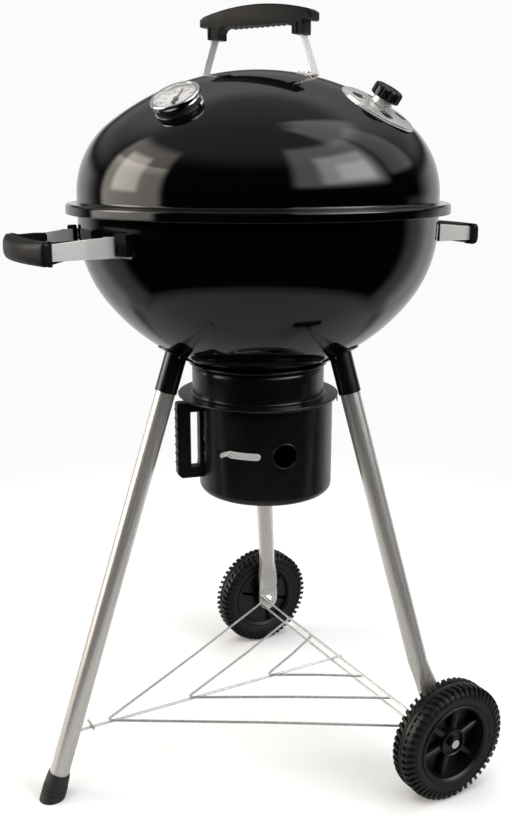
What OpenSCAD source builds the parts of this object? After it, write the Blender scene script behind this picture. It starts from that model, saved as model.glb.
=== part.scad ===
// Kettle charcoal grill on three splayed legs, two of them on wheels.
// +X points from the footed leg to the wheels, +Z is up, the floor is z = 0.
// The origin is the middle of the footprint; the kettle's own axis stands kettle_x in front of it.

/* [Kettle] */
// Outer radius of the bowl at its straight band
bowl_r = 268; // [262:0.5:270]
// Height of the bowl's rolled rim above the floor
rim_z = 897; // [894:1:900]
// Sheet thickness of bowl, lid and ash parts
sheet = 1.2; // [1:0.1:1.6]
// Outer radius of the lid's rolled skirt
skirt_r = 285; // [284:0.5:288]
// Height of the lid's skirt
skirt_h = 13.6; // [12:0.1:15]

/* [Legs] */
// Outer diameter of a leg tube
leg_d = 30; // [28:0.5:31]
// Wall of a leg tube
leg_wall = 1.5; // [1:0.1:2]
// Distance of the rubber foot from the kettle's axis
foot_reach = 368; // [362:1:372]
// Distance of a socket's mouth from the kettle's axis
socket_reach = 159; // [157:0.5:161]
// Height of the socket mouths
socket_z = 624; // [622:1:627]

/* [Wheels] */
// Outer radius of a wheel
wheel_r = 94; // [92:0.5:95]
// Width of a tyre
wheel_w = 43; // [40:0.5:44]
// Distance of the axle line from the kettle's axis
axle_x = 173; // [171:0.5:175]
// Half of the track
half_track = 290; // [288:0.5:292]

/* [Ash can] */
// Outer radius of the ash can
can_r = 105.5; // [104:0.5:106]
// Height of the can's floor above the ground
can_z = 449; // [446:1:452]
// Radius of the can's air holes
air_hole_r = 18.5; // [14:0.5:20]

/* [Handles] */
// Half of the width of a side handle
handle_half = 80; // [76:1:84]
// Half of the length of the lid's grip
lid_grip_half = 92; // [88:1:96]

/* [Hidden] */
$fn = 96;

enamel = [0.05, 0.05, 0.055];
black_plastic = [0.08, 0.08, 0.08];
rubber = [0.06, 0.06, 0.06];
steel = [0.72, 0.70, 0.67];
zinc = [0.82, 0.83, 0.85];

kettle_x = 5;            // kettle axis ahead of the footprint's middle
gap = 0.3;               // running gap between bodies
fit = 0.05;              // running fit of a shaft in its bore, on the radius
tiny = 0.02;             // face to face pieces of one body

// bowl, measured down from the level where its straight band starts
bowl_z = 886;
bowl_band = 20;
bowl_knuckle = 180;
bowl_crown = 290;
bowl_mouth_r = 92.5;     // opening above the ash neck

// lid, measured up from where it rests on the rolled rim
lid_r = 268;
lid_z = rim_z + gap;
lid_band = 12;
lid_knuckle = 130;
lid_crown = 357;
lid_crown_z = lid_z + crown_centre(lid_r, lid_band, lid_knuckle, lid_crown);

// where things sit on the lid: azimuth about the kettle and tilt from the top
vent_az = -59;
vent_tilt = 32.3;
vent_plate_r = 57;
damper_r = 54;
vent_hole_r = 10;
vent_hole_ring = 34.5;
dial_az = -152;
dial_tilt = 32.9;
lid_handle_az = -60;
lid_pad_tilt = 13.3;

cook_z = 850;            // height of the cooking grate's wires
cook_r = 256;
coal_z = 745;            // height of the charcoal grate's wires
coal_r = 202;
cook_pitch = 16;
grate_wire = 5;

splay = atan2(foot_reach - socket_reach, socket_z);
blade_y = 262;           // middle of a wheel leg's flattened end, from the plane of symmetry
blade_t = 7;
blade_w = 40;
blade_top = 150;
bolt_r = 4;

// the wire rack between the legs
wire_r = 2;
rack_z = 94;
rack_rise = 0.93;        // the rack rises towards the footed leg
rack_apex = [-273, -132, 19];
rack_reach = [254, 160, 81];

// side handles
handle_z = 849;
strap_t = 2.2;
strap_bend = 287;
strap_end = 355;
block_az = 21.3;         // angle of a mount block from its handle's middle
block_r = [270.6, 283];
grip_z = 844;
grip_out = 378;          // outermost point of a side grip
grip_bow = 195;          // radius of its bow

// ash parts
collar_z = 654.5;
neck_r = 103.3;
neck_top = 654.5;
neck_flange_r = 126.2;
neck_z = 604.4;
can_az = -30;            // the can hangs a little off the kettle's axis
can_offset = 12;
can_top = 601;
lip_r = 112;
air_z = 530;
air_az = [256.5, 346.5, 76.5, 166.5];
can_handle_az = 166.5;
lever_az = [203, 236];
ring_travel = 24;

function crown_centre(r, band, k, c) = band - sqrt(pow(c - k, 2) - pow(r - k, 2));

// Right half of a dished outline above its rim level: band, knuckle arc and crown arc
module dish_outline(r, band, k, c) {
    zc = crown_centre(r, band, k, c);
    a = atan2(band - zc, r - k);
    tangent = [r - k + k * cos(a), band + k * sin(a)];
    intersection() {
        square([r, c]);
        union() {
            polygon([[0, 0], [r, 0], [r, band], tangent, [0, tangent[1]]]);
            translate([r - k, band]) circle(k, $fn = 180);
            intersection() {
                translate([0, zc]) circle(c, $fn = 360);
                polygon([[0, zc], [0, zc + 2 * c], [2 * c * cos(a), zc + 2 * c * sin(a)]]);
            }
        }
    }
}
// The same dish grown by g, with its centres kept
module grown_dish(r, band, k, c, g) {
    dish_outline(r + g, band, k + g, c + g);
}
module bowl_solid(g = 0) {
    translate([0, 0, bowl_z]) mirror([0, 0, 1])
        rotate_extrude($fn = 180) grown_dish(bowl_r, bowl_band, bowl_knuckle, bowl_crown, g);
}
module crown_ball(g) { translate([0, 0, lid_crown_z]) sphere(lid_crown + g, $fn = 200); }
module tube(r, wall, h) { difference() { cylinder(r = r, h = h); translate([0, 0, -1]) cylinder(r = r - wall, h = h + 2); } }
module about(az) { rotate([0, 0, az]) children(); }
module on_kettle() { translate([kettle_x, 0, 0]) children(); }
// +Z of the children runs from p towards q
module towards(p, q) {
    d = q - p;
    translate(p) rotate([0, acos(d[2] / norm(d)), atan2(d[1], d[0])]) children();
}
module rod(p, q, r) { towards(p, q) cylinder(r = r, h = norm(q - p), $fn = 32); }
// A flat strip that follows points in a plane, t thick and h high
function left_of(d) = [-d[1], d[0]] / norm(d);
function mitre(p, i) =
    let (a = left_of(i > 0 ? p[i] - p[i - 1] : p[1] - p[0]))
    let (b = i < len(p) - 1 ? left_of(p[i + 1] - p[i]) : a)
    (a + b) / ((a + b) * a);
module strip(p, t, h) {
    last = len(p) - 1;
    translate([0, 0, -h / 2]) linear_extrude(h) polygon(concat(
        [for (i = [0 : last]) p[i] + mitre(p, i) * t / 2],
        [for (i = [0 : last]) p[last - i] - mitre(p, last - i) * t / 2]));
}
// Children stand on the lid's crown with +Z along its normal, h above the sheet
module on_lid(az, tilt, h = 0) {
    translate([0, 0, lid_crown_z]) rotate([0, tilt, az]) translate([0, 0, lid_crown + h]) children();
}
module on_can() { about(can_az) translate([can_offset, 0, 0]) about(-can_az) children(); }
// Pan-head screw with its head's seat at z = 0 and its shank downwards
module screw(r, shank) {
    cylinder(r = 1.8 * r, h = 0.9 * r, $fn = 32);
    translate([0, 0, -shank]) cylinder(r = r, h = shank + 0.01, $fn = 32);
}

// ---- bowl and what it holds ----
module bowl() on_kettle() color(enamel) difference() {
    union() {
        difference() { bowl_solid(); bowl_solid(-sheet); translate([0, 0, bowl_z - 0.01]) cylinder(r = 400, h = 9); }
        // straight band up to the rolled rim
        translate([0, 0, bowl_z - 0.01]) tube(bowl_r, sheet, rim_z - bowl_z + 0.01);
        rotate_extrude($fn = 180) {
            translate([bowl_r - sheet, rim_z - 2.2]) square([12, 2.2]);
            translate([bowl_r + 9.4, rim_z - 3.2]) circle(3.2, $fn = 32);
        }
    }
    translate([0, 0, 600]) cylinder(r = bowl_mouth_r, h = 100);
    handle_screw_places() rotate([0, -90, 0]) cylinder(r = 2.7, h = 60, center = true, $fn = 24);
    for (az = [60, 180, 300]) socket_screw_places(az) cylinder(r = 2.2, h = 30, center = true, $fn = 24);
}
// Tabs that the two grates rest on
module grate_tabs() on_kettle() color(enamel)
    for (level = [[cook_z, cook_r, 15], [coal_z, coal_r, 75]])
        for (k = [0 : 3]) about(level[2] + 90 * k) difference() {
            translate([level[1] - 12, -9, level[0] - grate_wire / 2 - gap - 2]) cube([40, 18, 2]);
            difference() { translate([0, -40, 600]) cube([400, 80, 400]); bowl_solid(-sheet - tiny); }
        }
// A round grate: rim ring with two stay bars inside it, and bars laid across on top
module grate(r, z, pitch, bar) {
    translate([0, 0, z]) rotate_extrude($fn = 120) translate([r - grate_wire / 2, 0]) circle(grate_wire / 2, $fn = 24);
    n = floor((r - 12) / pitch);
    for (i = [-n : n]) {
        half = sqrt(pow(r - 1, 2) - pow(i * pitch, 2));
        translate([-half, i * pitch, z + (grate_wire + bar) / 2 + tiny]) rotate([0, 90, 0])
            cylinder(d = bar, h = 2 * half, $fn = 24);
    }
    for (s = [-1, 1]) {
        half = sqrt(pow(r - grate_wire - 0.2, 2) - pow(0.42 * r + grate_wire / 2, 2));
        translate([s * r * 0.42, -half, z]) rotate([-90, 0, 0]) cylinder(d = grate_wire, h = 2 * half, $fn = 24);
    }
}
module cooking_grate() on_kettle() color(steel) about(30) {
    grate(cook_r, cook_z, cook_pitch, 4);
    for (s = [-1, 1]) translate([0, s * 11 * cook_pitch, cook_z + grate_wire / 2 + 4 + 2 * tiny]) {
        for (x = [-45, 45]) translate([x, 0, 0]) cylinder(d = 4, h = 24, $fn = 24);
        translate([-47, 0, 24]) rotate([0, 90, 0]) cylinder(d = 4, h = 94, $fn = 24);
    }
}
module charcoal_grate() on_kettle() color(steel) about(30) grate(coal_r, coal_z, 20, 5);

// ---- legs ----
function leg_top(az) = [socket_reach * cos(az), socket_reach * sin(az), socket_z];
function leg_aim(az) = az == 180 ? [-foot_reach, 0, 0] : [axle_x, (az > 180 ? -1 : 1) * 259, rack_z];
// Children start at the socket's mouth with +Z going up into the bowl
module up_leg(az) { towards(leg_top(az), 2 * leg_top(az) - leg_aim(az)) children(); }
module leg_socket(az) on_kettle() color(enamel) {
    difference() {
        up_leg(az) tube(leg_d / 2 + 1.8, 1.8 - fit, 95);
        bowl_solid(tiny);
        translate([0, 0, 740]) cylinder(r = 400, h = 300);
    }
    difference() {
        intersection() {
            difference() { bowl_solid(2); bowl_solid(tiny); }
            up_leg(az) translate([0, 0, 20]) cylinder(r = 29, h = 90);
        }
        up_leg(az) cylinder(r = leg_d / 2 + fit, h = 200);
        socket_screw_places(az) cylinder(r = 2.2, h = 30, center = true, $fn = 24);
    }
}
// Two screws beside each socket, square to the bowl
module socket_screw_places(az) {
    spread = 9.2;
    for (s = [-1, 1]) translate([0, 0, bowl_z - crown_centre(bowl_r, bowl_band, bowl_knuckle, bowl_crown)])
        rotate([0, 180 - 29.8, az + s * spread]) translate([0, 0, bowl_crown + 2]) children();
}
module foot_leg_socket() leg_socket(180);
module right_leg_socket() leg_socket(300);
module rear_leg_socket() leg_socket(60);
module socket_screws() on_kettle() color(zinc)
    for (az = [60, 180, 300]) socket_screw_places(az) translate([0, 0, tiny]) screw(2, 9);

tube_in = 44;            // how far a leg reaches into its socket
module leg_bore(az, h) { up_leg(az) translate([0, 0, -h]) cylinder(r = leg_d / 2 - leg_wall, h = h + tube_in + 1); }
module foot_leg() on_kettle() color(steel) difference() {
    len = norm(leg_top(180) - leg_aim(180));
    up_leg(180) translate([0, 0, 8 - len]) cylinder(d = leg_d, h = len + tube_in - 8);
    leg_bore(180, len + 10);
    translate([-500, -100, -50]) cube([600, 200, 54]);
    rack_local() translate([-380, 0, 0]) rotate([0, 90, 0]) cylinder(r = wire_r + 0.2, h = 80, $fn = 24);
}
module wheel_leg(s) difference() {
    az = s > 0 ? 60 : 300;
    len = norm(leg_top(az) - leg_aim(az));
    tube_low = len - 80;
    union() {
        difference() {
            up_leg(az) translate([0, 0, -tube_low]) cylinder(d = leg_d, h = tube_low + tube_in);
            leg_bore(az, tube_low - 12);
        }
        // the tube is pressed flat above the axle
        hull() {
            up_leg(az) translate([0, 0, -tube_low - 0.5]) cylinder(d = leg_d + 0.6, h = 1, $fn = 40);
            translate([axle_x - blade_w / 2, s * blade_y - blade_t / 2, blade_top - 34]) cube([blade_w, blade_t, 2]);
        }
        translate([axle_x - blade_w / 2, s * blade_y - blade_t / 2, rack_z]) cube([blade_w, blade_t, blade_top - 34 - rack_z + 1]);
        translate([axle_x, s * blade_y, rack_z]) rotate([90, 0, 0]) cylinder(d = blade_w, h = blade_t, center = true);
    }
    translate([axle_x, s * blade_y, wheel_r]) rotate([90, 0, 0]) cylinder(r = bolt_r + fit, h = 40, center = true);
}
module right_leg() on_kettle() color(steel) wheel_leg(-1);
module rear_leg() on_kettle() color(steel) wheel_leg(1);
module foot_cap() on_kettle() color(rubber) difference() {
    len = norm(leg_top(180) - leg_aim(180));
    up_leg(180) translate([0, 0, -len - 20]) cylinder(r = leg_d / 2 + 4, h = 62);
    up_leg(180) translate([0, 0, 8 - len]) cylinder(r = leg_d / 2 + tiny, h = 200);
    translate([-500, -100, -100]) cube([600, 200, 100]);
}

// ---- wire rack, flat in its own plane, +X towards the wheels ----
module rack_local() { translate([axle_x, 0, rack_z]) rotate([0, rack_rise, 0]) translate([-axle_x, 0, 0]) children(); }
module rack_arms(i, lift) on_kettle() color(zinc) rack_local()
    for (s = [-1, 1]) rod([rack_apex[i] + 3, s * 2.3, lift], [axle_x - 12, s * rack_reach[i], lift], wire_r);
module rack_centre_wire() on_kettle() color(zinc) rack_local() rod([-328, 0, 0], [axle_x + 2, 0, 0], wire_r);
module rack_outer_arms() rack_arms(0, 2 * wire_r + tiny);
module rack_middle_arms() rack_arms(1, 2 * wire_r + tiny);
module rack_inner_arms() rack_arms(2, 2 * wire_r + tiny);
module rack_side_wires() on_kettle() color(zinc) rack_local() {
    // one wire across the top, one underneath, clear of the axle bolts
    for (w = [[axle_x - 14, 4 * wire_r + 2 * tiny], [axle_x - 19, -2 * wire_r - tiny]])
        rod([w[0], tiny + blade_t / 2 - blade_y, w[1]], [w[0], blade_y - blade_t / 2 - tiny, w[1]], wire_r);
}
module rack_cross_pin() on_kettle() color(zinc) rack_local() rod([-300, -15, 2 * wire_r + tiny], [-300, 15, 2 * wire_r + tiny], wire_r);

// ---- wheels ----
module on_axle(s) { on_kettle() translate([axle_x, s * half_track, wheel_r]) rotate([90, 0, s > 0 ? 180 : 0]) children(); }
rim_outer = 63;
boss_r = 15;
bush_r = 8;
boss_h = 14;             // the boss's outer face, from the wheel's middle plane
bolt_out = boss_h + gap;
module tyre() rotate_extrude($fn = 120) intersection() {
    translate([rim_outer, -wheel_w / 2]) square([wheel_r - rim_outer, wheel_w]);
    union() {
        translate([0, -wheel_w / 2 + 8]) square([wheel_r, wheel_w - 16]);
        translate([0, -wheel_w / 2]) square([wheel_r - 8, wheel_w]);
        for (s = [-1, 1]) translate([wheel_r - 8, s * (wheel_w / 2 - 8)]) circle(8, $fn = 32);
    }
}
module wheel_rim() difference() {
    union() {
        translate([0, 0, -17]) tube(rim_outer - fit, 5, 34);
        translate([0, 0, -3]) cylinder(r = 58.2, h = 3);
        translate([0, 0, -wheel_w / 2 + 2]) cylinder(r = boss_r, h = wheel_w / 2 - 2 + boss_h);
        for (k = [0 : 5]) about(60 * k) translate([boss_r - 3, -4.5, -8]) cube([46, 9, 16]);
    }
    translate([0, 0, -60]) cylinder(r = bush_r + tiny, h = 120);
    for (k = [0 : 5]) about(60 * k + 30) translate([38, 0, -20]) cylinder(r = 13, h = 40);
}
module wheel_bush() translate([0, 0, -wheel_w / 2 + 2]) difference() {
    cylinder(r = bush_r, h = wheel_w / 2 - 2 + boss_h);
    translate([0, 0, -1]) cylinder(r = bolt_r + fit, h = 60);
}
module right_tyre() on_axle(-1) color(rubber) tyre();
module rear_tyre() on_axle(1) color(rubber) tyre();
module right_wheel_rim() on_axle(-1) color(black_plastic) wheel_rim();
module rear_wheel_rim() on_axle(1) color(black_plastic) wheel_rim();
module right_wheel_bush() on_axle(-1) color(black_plastic) wheel_bush();
module rear_wheel_bush() on_axle(1) color(black_plastic) wheel_bush();
bolt_in = half_track - blade_y + blade_t / 2 + 9;
module wheel_bolts() color(zinc) for (s = [-1, 1]) on_axle(s) {
    translate([0, 0, bolt_out]) cylinder(r = 7, h = 4);
    translate([0, 0, -bolt_in]) cylinder(r = bolt_r, h = bolt_in + bolt_out + 1);
}
module wheel_nuts() color(zinc) for (s = [-1, 1]) on_axle(s) difference() {
    union() {
        translate([0, 0, -bolt_in + 2.5]) cylinder(r = 7.5, h = 6.5 - tiny, $fn = 6);
        // washer between the leg and the wheel
        translate([0, 0, blade_y + blade_t / 2 + tiny - half_track]) cylinder(r = 10, h = 1.6);
    }
    translate([0, 0, -60]) cylinder(r = bolt_r + tiny, h = 120);
}

// ---- side handles: local +X outward, the U lies flat ----
module side(az) { on_kettle() about(az) children(); }
module handle_screw_places() for (az = [0, 180]) about(az) for (s = [-1, 1])
    translate([0, 0, handle_z]) about(s * block_az) translate([block_r[0], 0, 0]) children();
function strap_foot(a) = (bowl_r + 1.3) * [cos(a), sin(a)];
module strap_plan() for (s = [-1, 1]) scale_y(s)
    strip([strap_foot(25), strap_foot(18), [strap_bend, handle_half], [strap_end, handle_half], [strap_end, -1]],
        strap_t, 40);
module scale_y(s) { mirror([0, s < 0 ? 1 : 0, 0]) children(); }
module handle_bracket() color(steel) difference() {
    intersection() {
        translate([0, 0, handle_z]) strap_plan();
        // the strap tapers and droops a little towards the grip
        translate([0, 200, 0]) rotate([90, 0, 0]) linear_extrude(400)
            polygon([[200, handle_z - 14], [strap_end + 10, handle_z - 15], [strap_end + 10, handle_z + 5], [280, handle_z + 13],
                [200, handle_z + 14]]);
    }
    bowl_solid(tiny);
    translate([0, 0, handle_z]) for (s = [-1, 1]) about(s * block_az) translate([block_r[0], 0, 0]) rotate([0, 90, 0])
        cylinder(r = 2.7, h = 60, center = true, $fn = 24);
}
module left_handle_bracket() side(180) handle_bracket();
module right_handle_bracket() side(0) handle_bracket();
// The slot that the strap leaves in its grip
module strap_room() {
    translate([0, 0, handle_z - 4]) for (s = [-1, 1]) scale_y(s)
        strip([[strap_bend, handle_half], [strap_end, handle_half], [strap_end, -1]], strap_t + 2 * tiny, 24);
}
// The grip bows outward: a rounded section turned about a far centre, with cheeks inside the strap
module handle_grip() color(black_plastic) {
    difference() {
        intersection() {
            translate([grip_out - grip_bow, 0, grip_z]) rotate_extrude($fn = 360) grip_section();
            translate([349, -handle_half - 8, 800]) cube([40, 2 * handle_half + 16, 90]);
        }
        strap_room();
    }
    for (s = [-1, 1]) scale_y(s) translate([0, handle_half - strap_t / 2 - tiny, 0]) rotate([90, 0, 0])
        linear_extrude(5) polygon([[303, 839], [303, 860], [348.98, 858], [348.98, 831]]);
}
module grip_section() {
    hz = 16;
    soft = 7;
    translate([grip_bow - 60, -hz]) square([60 - soft, 2 * hz]);
    translate([grip_bow - soft - 1, soft - hz]) square([soft + 1, 2 * (hz - soft)]);
    for (s = [-1, 1]) translate([grip_bow - soft, s * (hz - soft)]) circle(soft, $fn = 40);
}
module left_handle_grip() side(180) handle_grip();
module right_handle_grip() side(0) handle_grip();
module handle_mount_blocks() color(black_plastic) for (az = [0, 180]) side(az) for (s = [-1, 1]) difference() {
    translate([0, 0, handle_z]) about(s * block_az) translate([block_r[0], -13, -10]) cube([block_r[1] - block_r[0], 26, 28]);
    translate([0, 0, handle_z]) strap_cutter(s);
    translate([0, 0, handle_z]) about(s * block_az) translate([block_r[0], 0, 0]) rotate([0, 90, 0]) {
        cylinder(r = 2.7, h = 60, center = true, $fn = 24);
        translate([0, 0, 8]) cylinder(r = 6, h = 20, $fn = 24);
    }
}
module strap_cutter(s) scale_y(s)
    strip([strap_foot(27), strap_foot(18), [strap_bend, handle_half]], strap_t + 2 * tiny, 60);
module handle_screws() on_kettle() color(zinc) handle_screw_places() translate([8, 0, 0]) rotate([0, 90, 0]) translate([0, 0, tiny]) screw(2.6, 15);

// ---- ash collar, neck and clips ----
module ash_collar() on_kettle() color(enamel) rotate_extrude($fn = 120) {
    translate([90.5, collar_z]) square([17.5, 1.8]);
    translate([90.5, collar_z]) square([1.8, 9]);
}
module ash_neck() on_kettle() color(enamel) rotate_extrude($fn = 120) difference() {
    union() {
        translate([86, neck_z]) square([neck_flange_r - 86, 2]);
        translate([neck_r - sheet, neck_z]) square([sheet, neck_top - neck_z - 9]);
        translate([neck_r - 9, neck_top - 9 - tiny]) intersection() { circle(9, $fn = 48); square([20, 20]); }
        translate([88, neck_top - sheet - tiny]) square([neck_r - 9 - 88, sheet]);
    }
    translate([neck_r - 9, neck_top - 9 - tiny]) intersection() { circle(9 - sheet, $fn = 48); square([20, 20]); }
}
module can_clips() on_kettle() color(zinc) on_can() for (az = [-30, 90, 210]) about(az)
    intersection() {
        translate([0, 0, neck_z - 12]) tube(lip_r + gap + 1.4, 1.4, 12 - tiny);
        translate([90, -8, 0]) cube([60, 16, 900]);
    }

// ---- ash can ----
module can_outline(g) {
    corner = 12;
    difference() {
        union() {
            translate([0, can_z + corner]) square([can_r + g, can_top + 1 - can_z - corner]);
            translate([0, can_z - g]) square([can_r - corner, can_top - can_z + g]);
            translate([can_r - corner, can_z + corner]) circle(corner + g, $fn = 48);
        }
        translate([-200, 0]) square([200, 900]);
    }
}
module ash_can() on_kettle() on_can() color(enamel) difference() {
    rotate_extrude($fn = 120) {
        difference() { can_outline(0); can_outline(-sheet); translate([0, can_top]) square([200, 20]); }
        translate([can_r - sheet, can_top]) square([lip_r - can_r + sheet, 2]);
    }
    for (az = air_az) about(az) translate([0, 0, air_z]) rotate([0, 90, 0]) cylinder(r = air_hole_r, h = 200, $fn = 48);
    lever_slot();
    can_screw_places() rotate([0, 90, 0]) cylinder(r = 2.1, h = 20, center = true, $fn = 24);
}
// Cuts away all but the sector between two azimuths
module outside_sector(from_az, to_az) {
    about(from_az) translate([-200, -200, 0]) cube([400, 200, 900]);
    about(to_az) translate([-200, 0, 0]) cube([400, 200, 900]);
}
// Slot for the lever's neck, wide enough for its whole travel
lever_pin_az = lever_az[1] - 12;
module lever_slot() difference() {
    translate([0, 0, air_z - 3]) cylinder(r = can_r + 10, h = 6);
    outside_sector(lever_pin_az - 3.5 - ring_travel, lever_pin_az + 3.5);
}
module air_ring() on_kettle() on_can() color(steel) difference() {
    translate([0, 0, air_z - 24]) tube(can_r - sheet - gap, 1.2, 48);
    for (az = air_az) about(az) translate([0, 0, air_z]) rotate([0, 90, 0]) cylinder(r = air_hole_r, h = 200, $fn = 48);
}
module air_ring_lever() on_kettle() on_can() color(zinc) {
    // neck through the slot
    difference() {
        about(lever_pin_az) translate([can_r - sheet - gap + tiny, -4, air_z - 2.5]) cube([4, 8, 5]);
        translate([0, 0, air_z - 20]) tube(can_r + 20, 19.4 - gap, 40);
    }
    difference() {
        translate([0, 0, air_z - 6]) tube(can_r + gap + 1.2, 1.2, 12);
        outside_sector(lever_az[0], lever_az[1]);
    }
    about(lever_az[0] + 1.5) translate([can_r + gap, -1, air_z - 5]) cube([7, 2, 10]);
}
module can_handle_local() { about(can_handle_az) translate([can_r, 0, 0]) children(); }
module ash_can_handle() on_kettle() on_can() color(black_plastic) difference() {
    can_handle_local() translate([0, 9, 0]) rotate([90, 0, 0]) linear_extrude(18) difference() {
        polygon([[-6, 477], [33, 477], [39, 483], [39, 598], [-6, 598]]);
        polygon([[-7, 503], [5, 503], [5, 494], [18, 494], [18, 583], [-7, 583]]);
    }
    translate([0, 0, 400]) cylinder(r = can_r + tiny, h = 300);
    can_screw_places() rotate([0, 90, 0]) translate([0, 0, -10]) cylinder(r = 2.1, h = 14, $fn = 24);
}
module can_screw_places() for (z = [590, 486]) about(can_handle_az) translate([can_r, 0, z]) children();
module ash_can_screws() on_kettle() on_can() color(zinc) can_screw_places() rotate([0, -90, 0])
    translate([0, 0, sheet + 0.25]) screw(2, 5.2);

// ---- lid ----
module lid_shell() on_kettle() color(enamel) difference() {
    translate([0, 0, lid_z]) rotate_extrude($fn = 180) {
        difference() {
            dish_outline(lid_r, lid_band, lid_knuckle, lid_crown);
            translate([0, -0.01]) grown_dish(lid_r, lid_band, lid_knuckle, lid_crown, -sheet);
        }
        translate([lid_r - sheet, 0]) square([skirt_r - lid_r, sheet]);
        translate([skirt_r - sheet, sheet - skirt_h]) square([sheet, skirt_h - 3]);
        translate([skirt_r - 3, sheet - 3]) difference() {
            intersection() { circle(3, $fn = 32); square([5, 5]); }
            circle(3 - sheet, $fn = 32);
        }
    }
    on_lid(vent_az, vent_tilt) { vent_holes(); cylinder(r = 4 + fit, h = 60, center = true); }
    on_lid(dial_az, dial_tilt) cylinder(r = 4.2, h = 60, center = true);
    lid_screw_places() cylinder(r = 2.7, h = 40, center = true, $fn = 24);
}
module vent_holes() for (k = [0 : 3]) about(45 + 90 * k) translate([vent_hole_ring, 0, 0])
    cylinder(r = vent_hole_r, h = 60, center = true, $fn = 48);
module lid_screw_places() for (s = [0, 180]) on_lid(lid_handle_az + s, lid_pad_tilt) children();
// A disc that follows the crown, from g[0] to g[1] above the sheet
module crown_disc(r, g) intersection() {
    difference() { crown_ball(g[1]); crown_ball(g[0]); }
    on_lid(vent_az, vent_tilt, -60) cylinder(r = r, h = 120, $fn = 120);
}
pad_t = 2;
module lid_handle_straps() on_kettle() color(steel) difference() {
    union() {
        intersection() {
            difference() { crown_ball(pad_t); crown_ball(tiny); }
            about(lid_handle_az) for (s = [-1, 1]) scale_x(s) translate([69, -9, 900]) cube([29, 18, 300]);
        }
        about(lid_handle_az) for (s = [-1, 1]) scale_x(s) rotate([90, 0, 0])
            strip([[94, 1071.8], [73, 1133], [73, 1158]], 2.5, 18);
    }
    crown_ball(tiny);
    lid_screw_places() cylinder(r = 2.7, h = 40, center = true, $fn = 24);
}
module scale_x(s) { mirror([s < 0 ? 1 : 0, 0, 0]) children(); }
module lid_handle_grip() on_kettle() color(black_plastic) about(lid_handle_az) difference() {
    rise = 13;
    top_z = 1174;
    arc_r = (pow(lid_grip_half, 2) + pow(rise, 2)) / (2 * rise);
    translate([0, 14, 0]) rotate([90, 0, 0]) linear_extrude(28) intersection() {
        translate([0, top_z - arc_r]) circle(arc_r, $fn = 360);
        union() {
            translate([-lid_grip_half, 1148]) square([2 * lid_grip_half, 40]);
            translate([-58, 1144]) square([116, 20]);
            for (s = [-1, 1]) translate([s * 71 - 8, 1132]) square([16, 40]);
        }
    }
    for (s = [-1, 1]) scale_x(s) rotate([90, 0, 0]) strip([[77.1, 1120.8], [73, 1133], [73, 1158 + tiny]],
        2.5 + 2 * tiny, 18 + 2 * tiny);
}
module lid_handle_screws() on_kettle() color(zinc) lid_screw_places() {
    translate([0, 0, pad_t + tiny]) screw(2.5, 9);
    translate([0, 0, -sheet - 0.3 - 4]) difference() { cylinder(r = 4.6, h = 4, $fn = 6); translate([0, 0, -1]) cylinder(r = 2.5 + tiny, h = 9, $fn = 32); }
}
plate_g = [0.02, 1.2];
damper_g = [1.5, 2.9];
module vent_base_plate() on_kettle() color(steel) difference() {
    crown_disc(vent_plate_r, plate_g);
    on_lid(vent_az, vent_tilt) { vent_holes(); cylinder(r = 4 + fit, h = 60, center = true); }
}
module vent_damper() on_kettle() color(steel) difference() {
    crown_disc(damper_r, damper_g);
    on_lid(vent_az, vent_tilt) { vent_holes(); cylinder(r = 4 + fit, h = 60, center = true); }
}
stem_top = 13;
stem_r = 14.5;
module vent_stem() on_kettle() color(steel) {
    difference() {
        on_lid(vent_az, vent_tilt) cylinder(r = stem_r, h = stem_top);
        crown_ball(damper_g[1] + tiny);
    }
    // pivot through the lid, with its retaining collar inside
    on_lid(vent_az, vent_tilt) {
        translate([0, 0, -6]) cylinder(r = 4, h = stem_top);
        translate([0, 0, -6]) cylinder(r = 9, h = 3.6);
    }
}
module vent_knob() on_kettle() color(black_plastic) on_lid(vent_az, vent_tilt, stem_top + tiny) difference() {
    cylinder(r = 21, h = 15);
    for (k = [0 : 11]) about(30 * k) translate([22.6, 0, -1]) cylinder(r = 3, h = 14, $fn = 24);
}
module on_dial(h = 0) { on_kettle() on_lid(dial_az, dial_tilt, h) children(); }
seat_top = 4;            // the thermometer's seat, above the sheet at its middle
case_floor = 4.5;
module thermometer_seat() color(rubber) difference() {
    on_dial(-4) cylinder(r = 31, h = 4 + seat_top);
    on_kettle() crown_ball(tiny);
    on_dial(-20) cylinder(r = 4.2, h = 60);
}
module thermometer_case() color(zinc) on_dial(seat_top + tiny) difference() {
    union() {
        cylinder(r = 29, h = 4);
        translate([0, 0, 3]) cylinder(r = 34.5, h = 9);
    }
    translate([0, 0, case_floor]) cylinder(r = 31, h = 11 - case_floor);
    translate([0, 0, 8]) cylinder(r = 29.5, h = 20);
}
module thermometer_dial() color("white") on_dial(seat_top + case_floor + 2 * tiny) difference() {
    cylinder(r = 30.9, h = 0.8);
    translate([0, 0, -1]) cylinder(r = 1.3, h = 4, $fn = 24);
}
module thermometer_needle() color("black") on_dial(seat_top + 6) {
    translate([-22, -1, 0]) cube([31, 2, 0.6]);
    cylinder(r = 3.2, h = 0.9, $fn = 32);
    translate([0, 0, -1.3]) cylinder(r = 1.2, h = 1.5, $fn = 24);
}
module thermometer_glass() color([0.8, 0.9, 0.95, 0.3]) on_dial(seat_top + 9.8) cylinder(r = 30.9, h = 1.2);
module thermometer_probe() color(steel) on_dial(-62) {
    cylinder(r = 3, h = 62 + seat_top);
    translate([0, 0, 0.2]) sphere(3, $fn = 32);
}
module thermometer_nut() color(steel) on_dial(-sheet - 0.5 - 5) difference() {
    cylinder(r = 9, h = 5, $fn = 6);
    translate([0, 0, -1]) cylinder(r = 3 + tiny, h = 10, $fn = 48);
}

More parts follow.
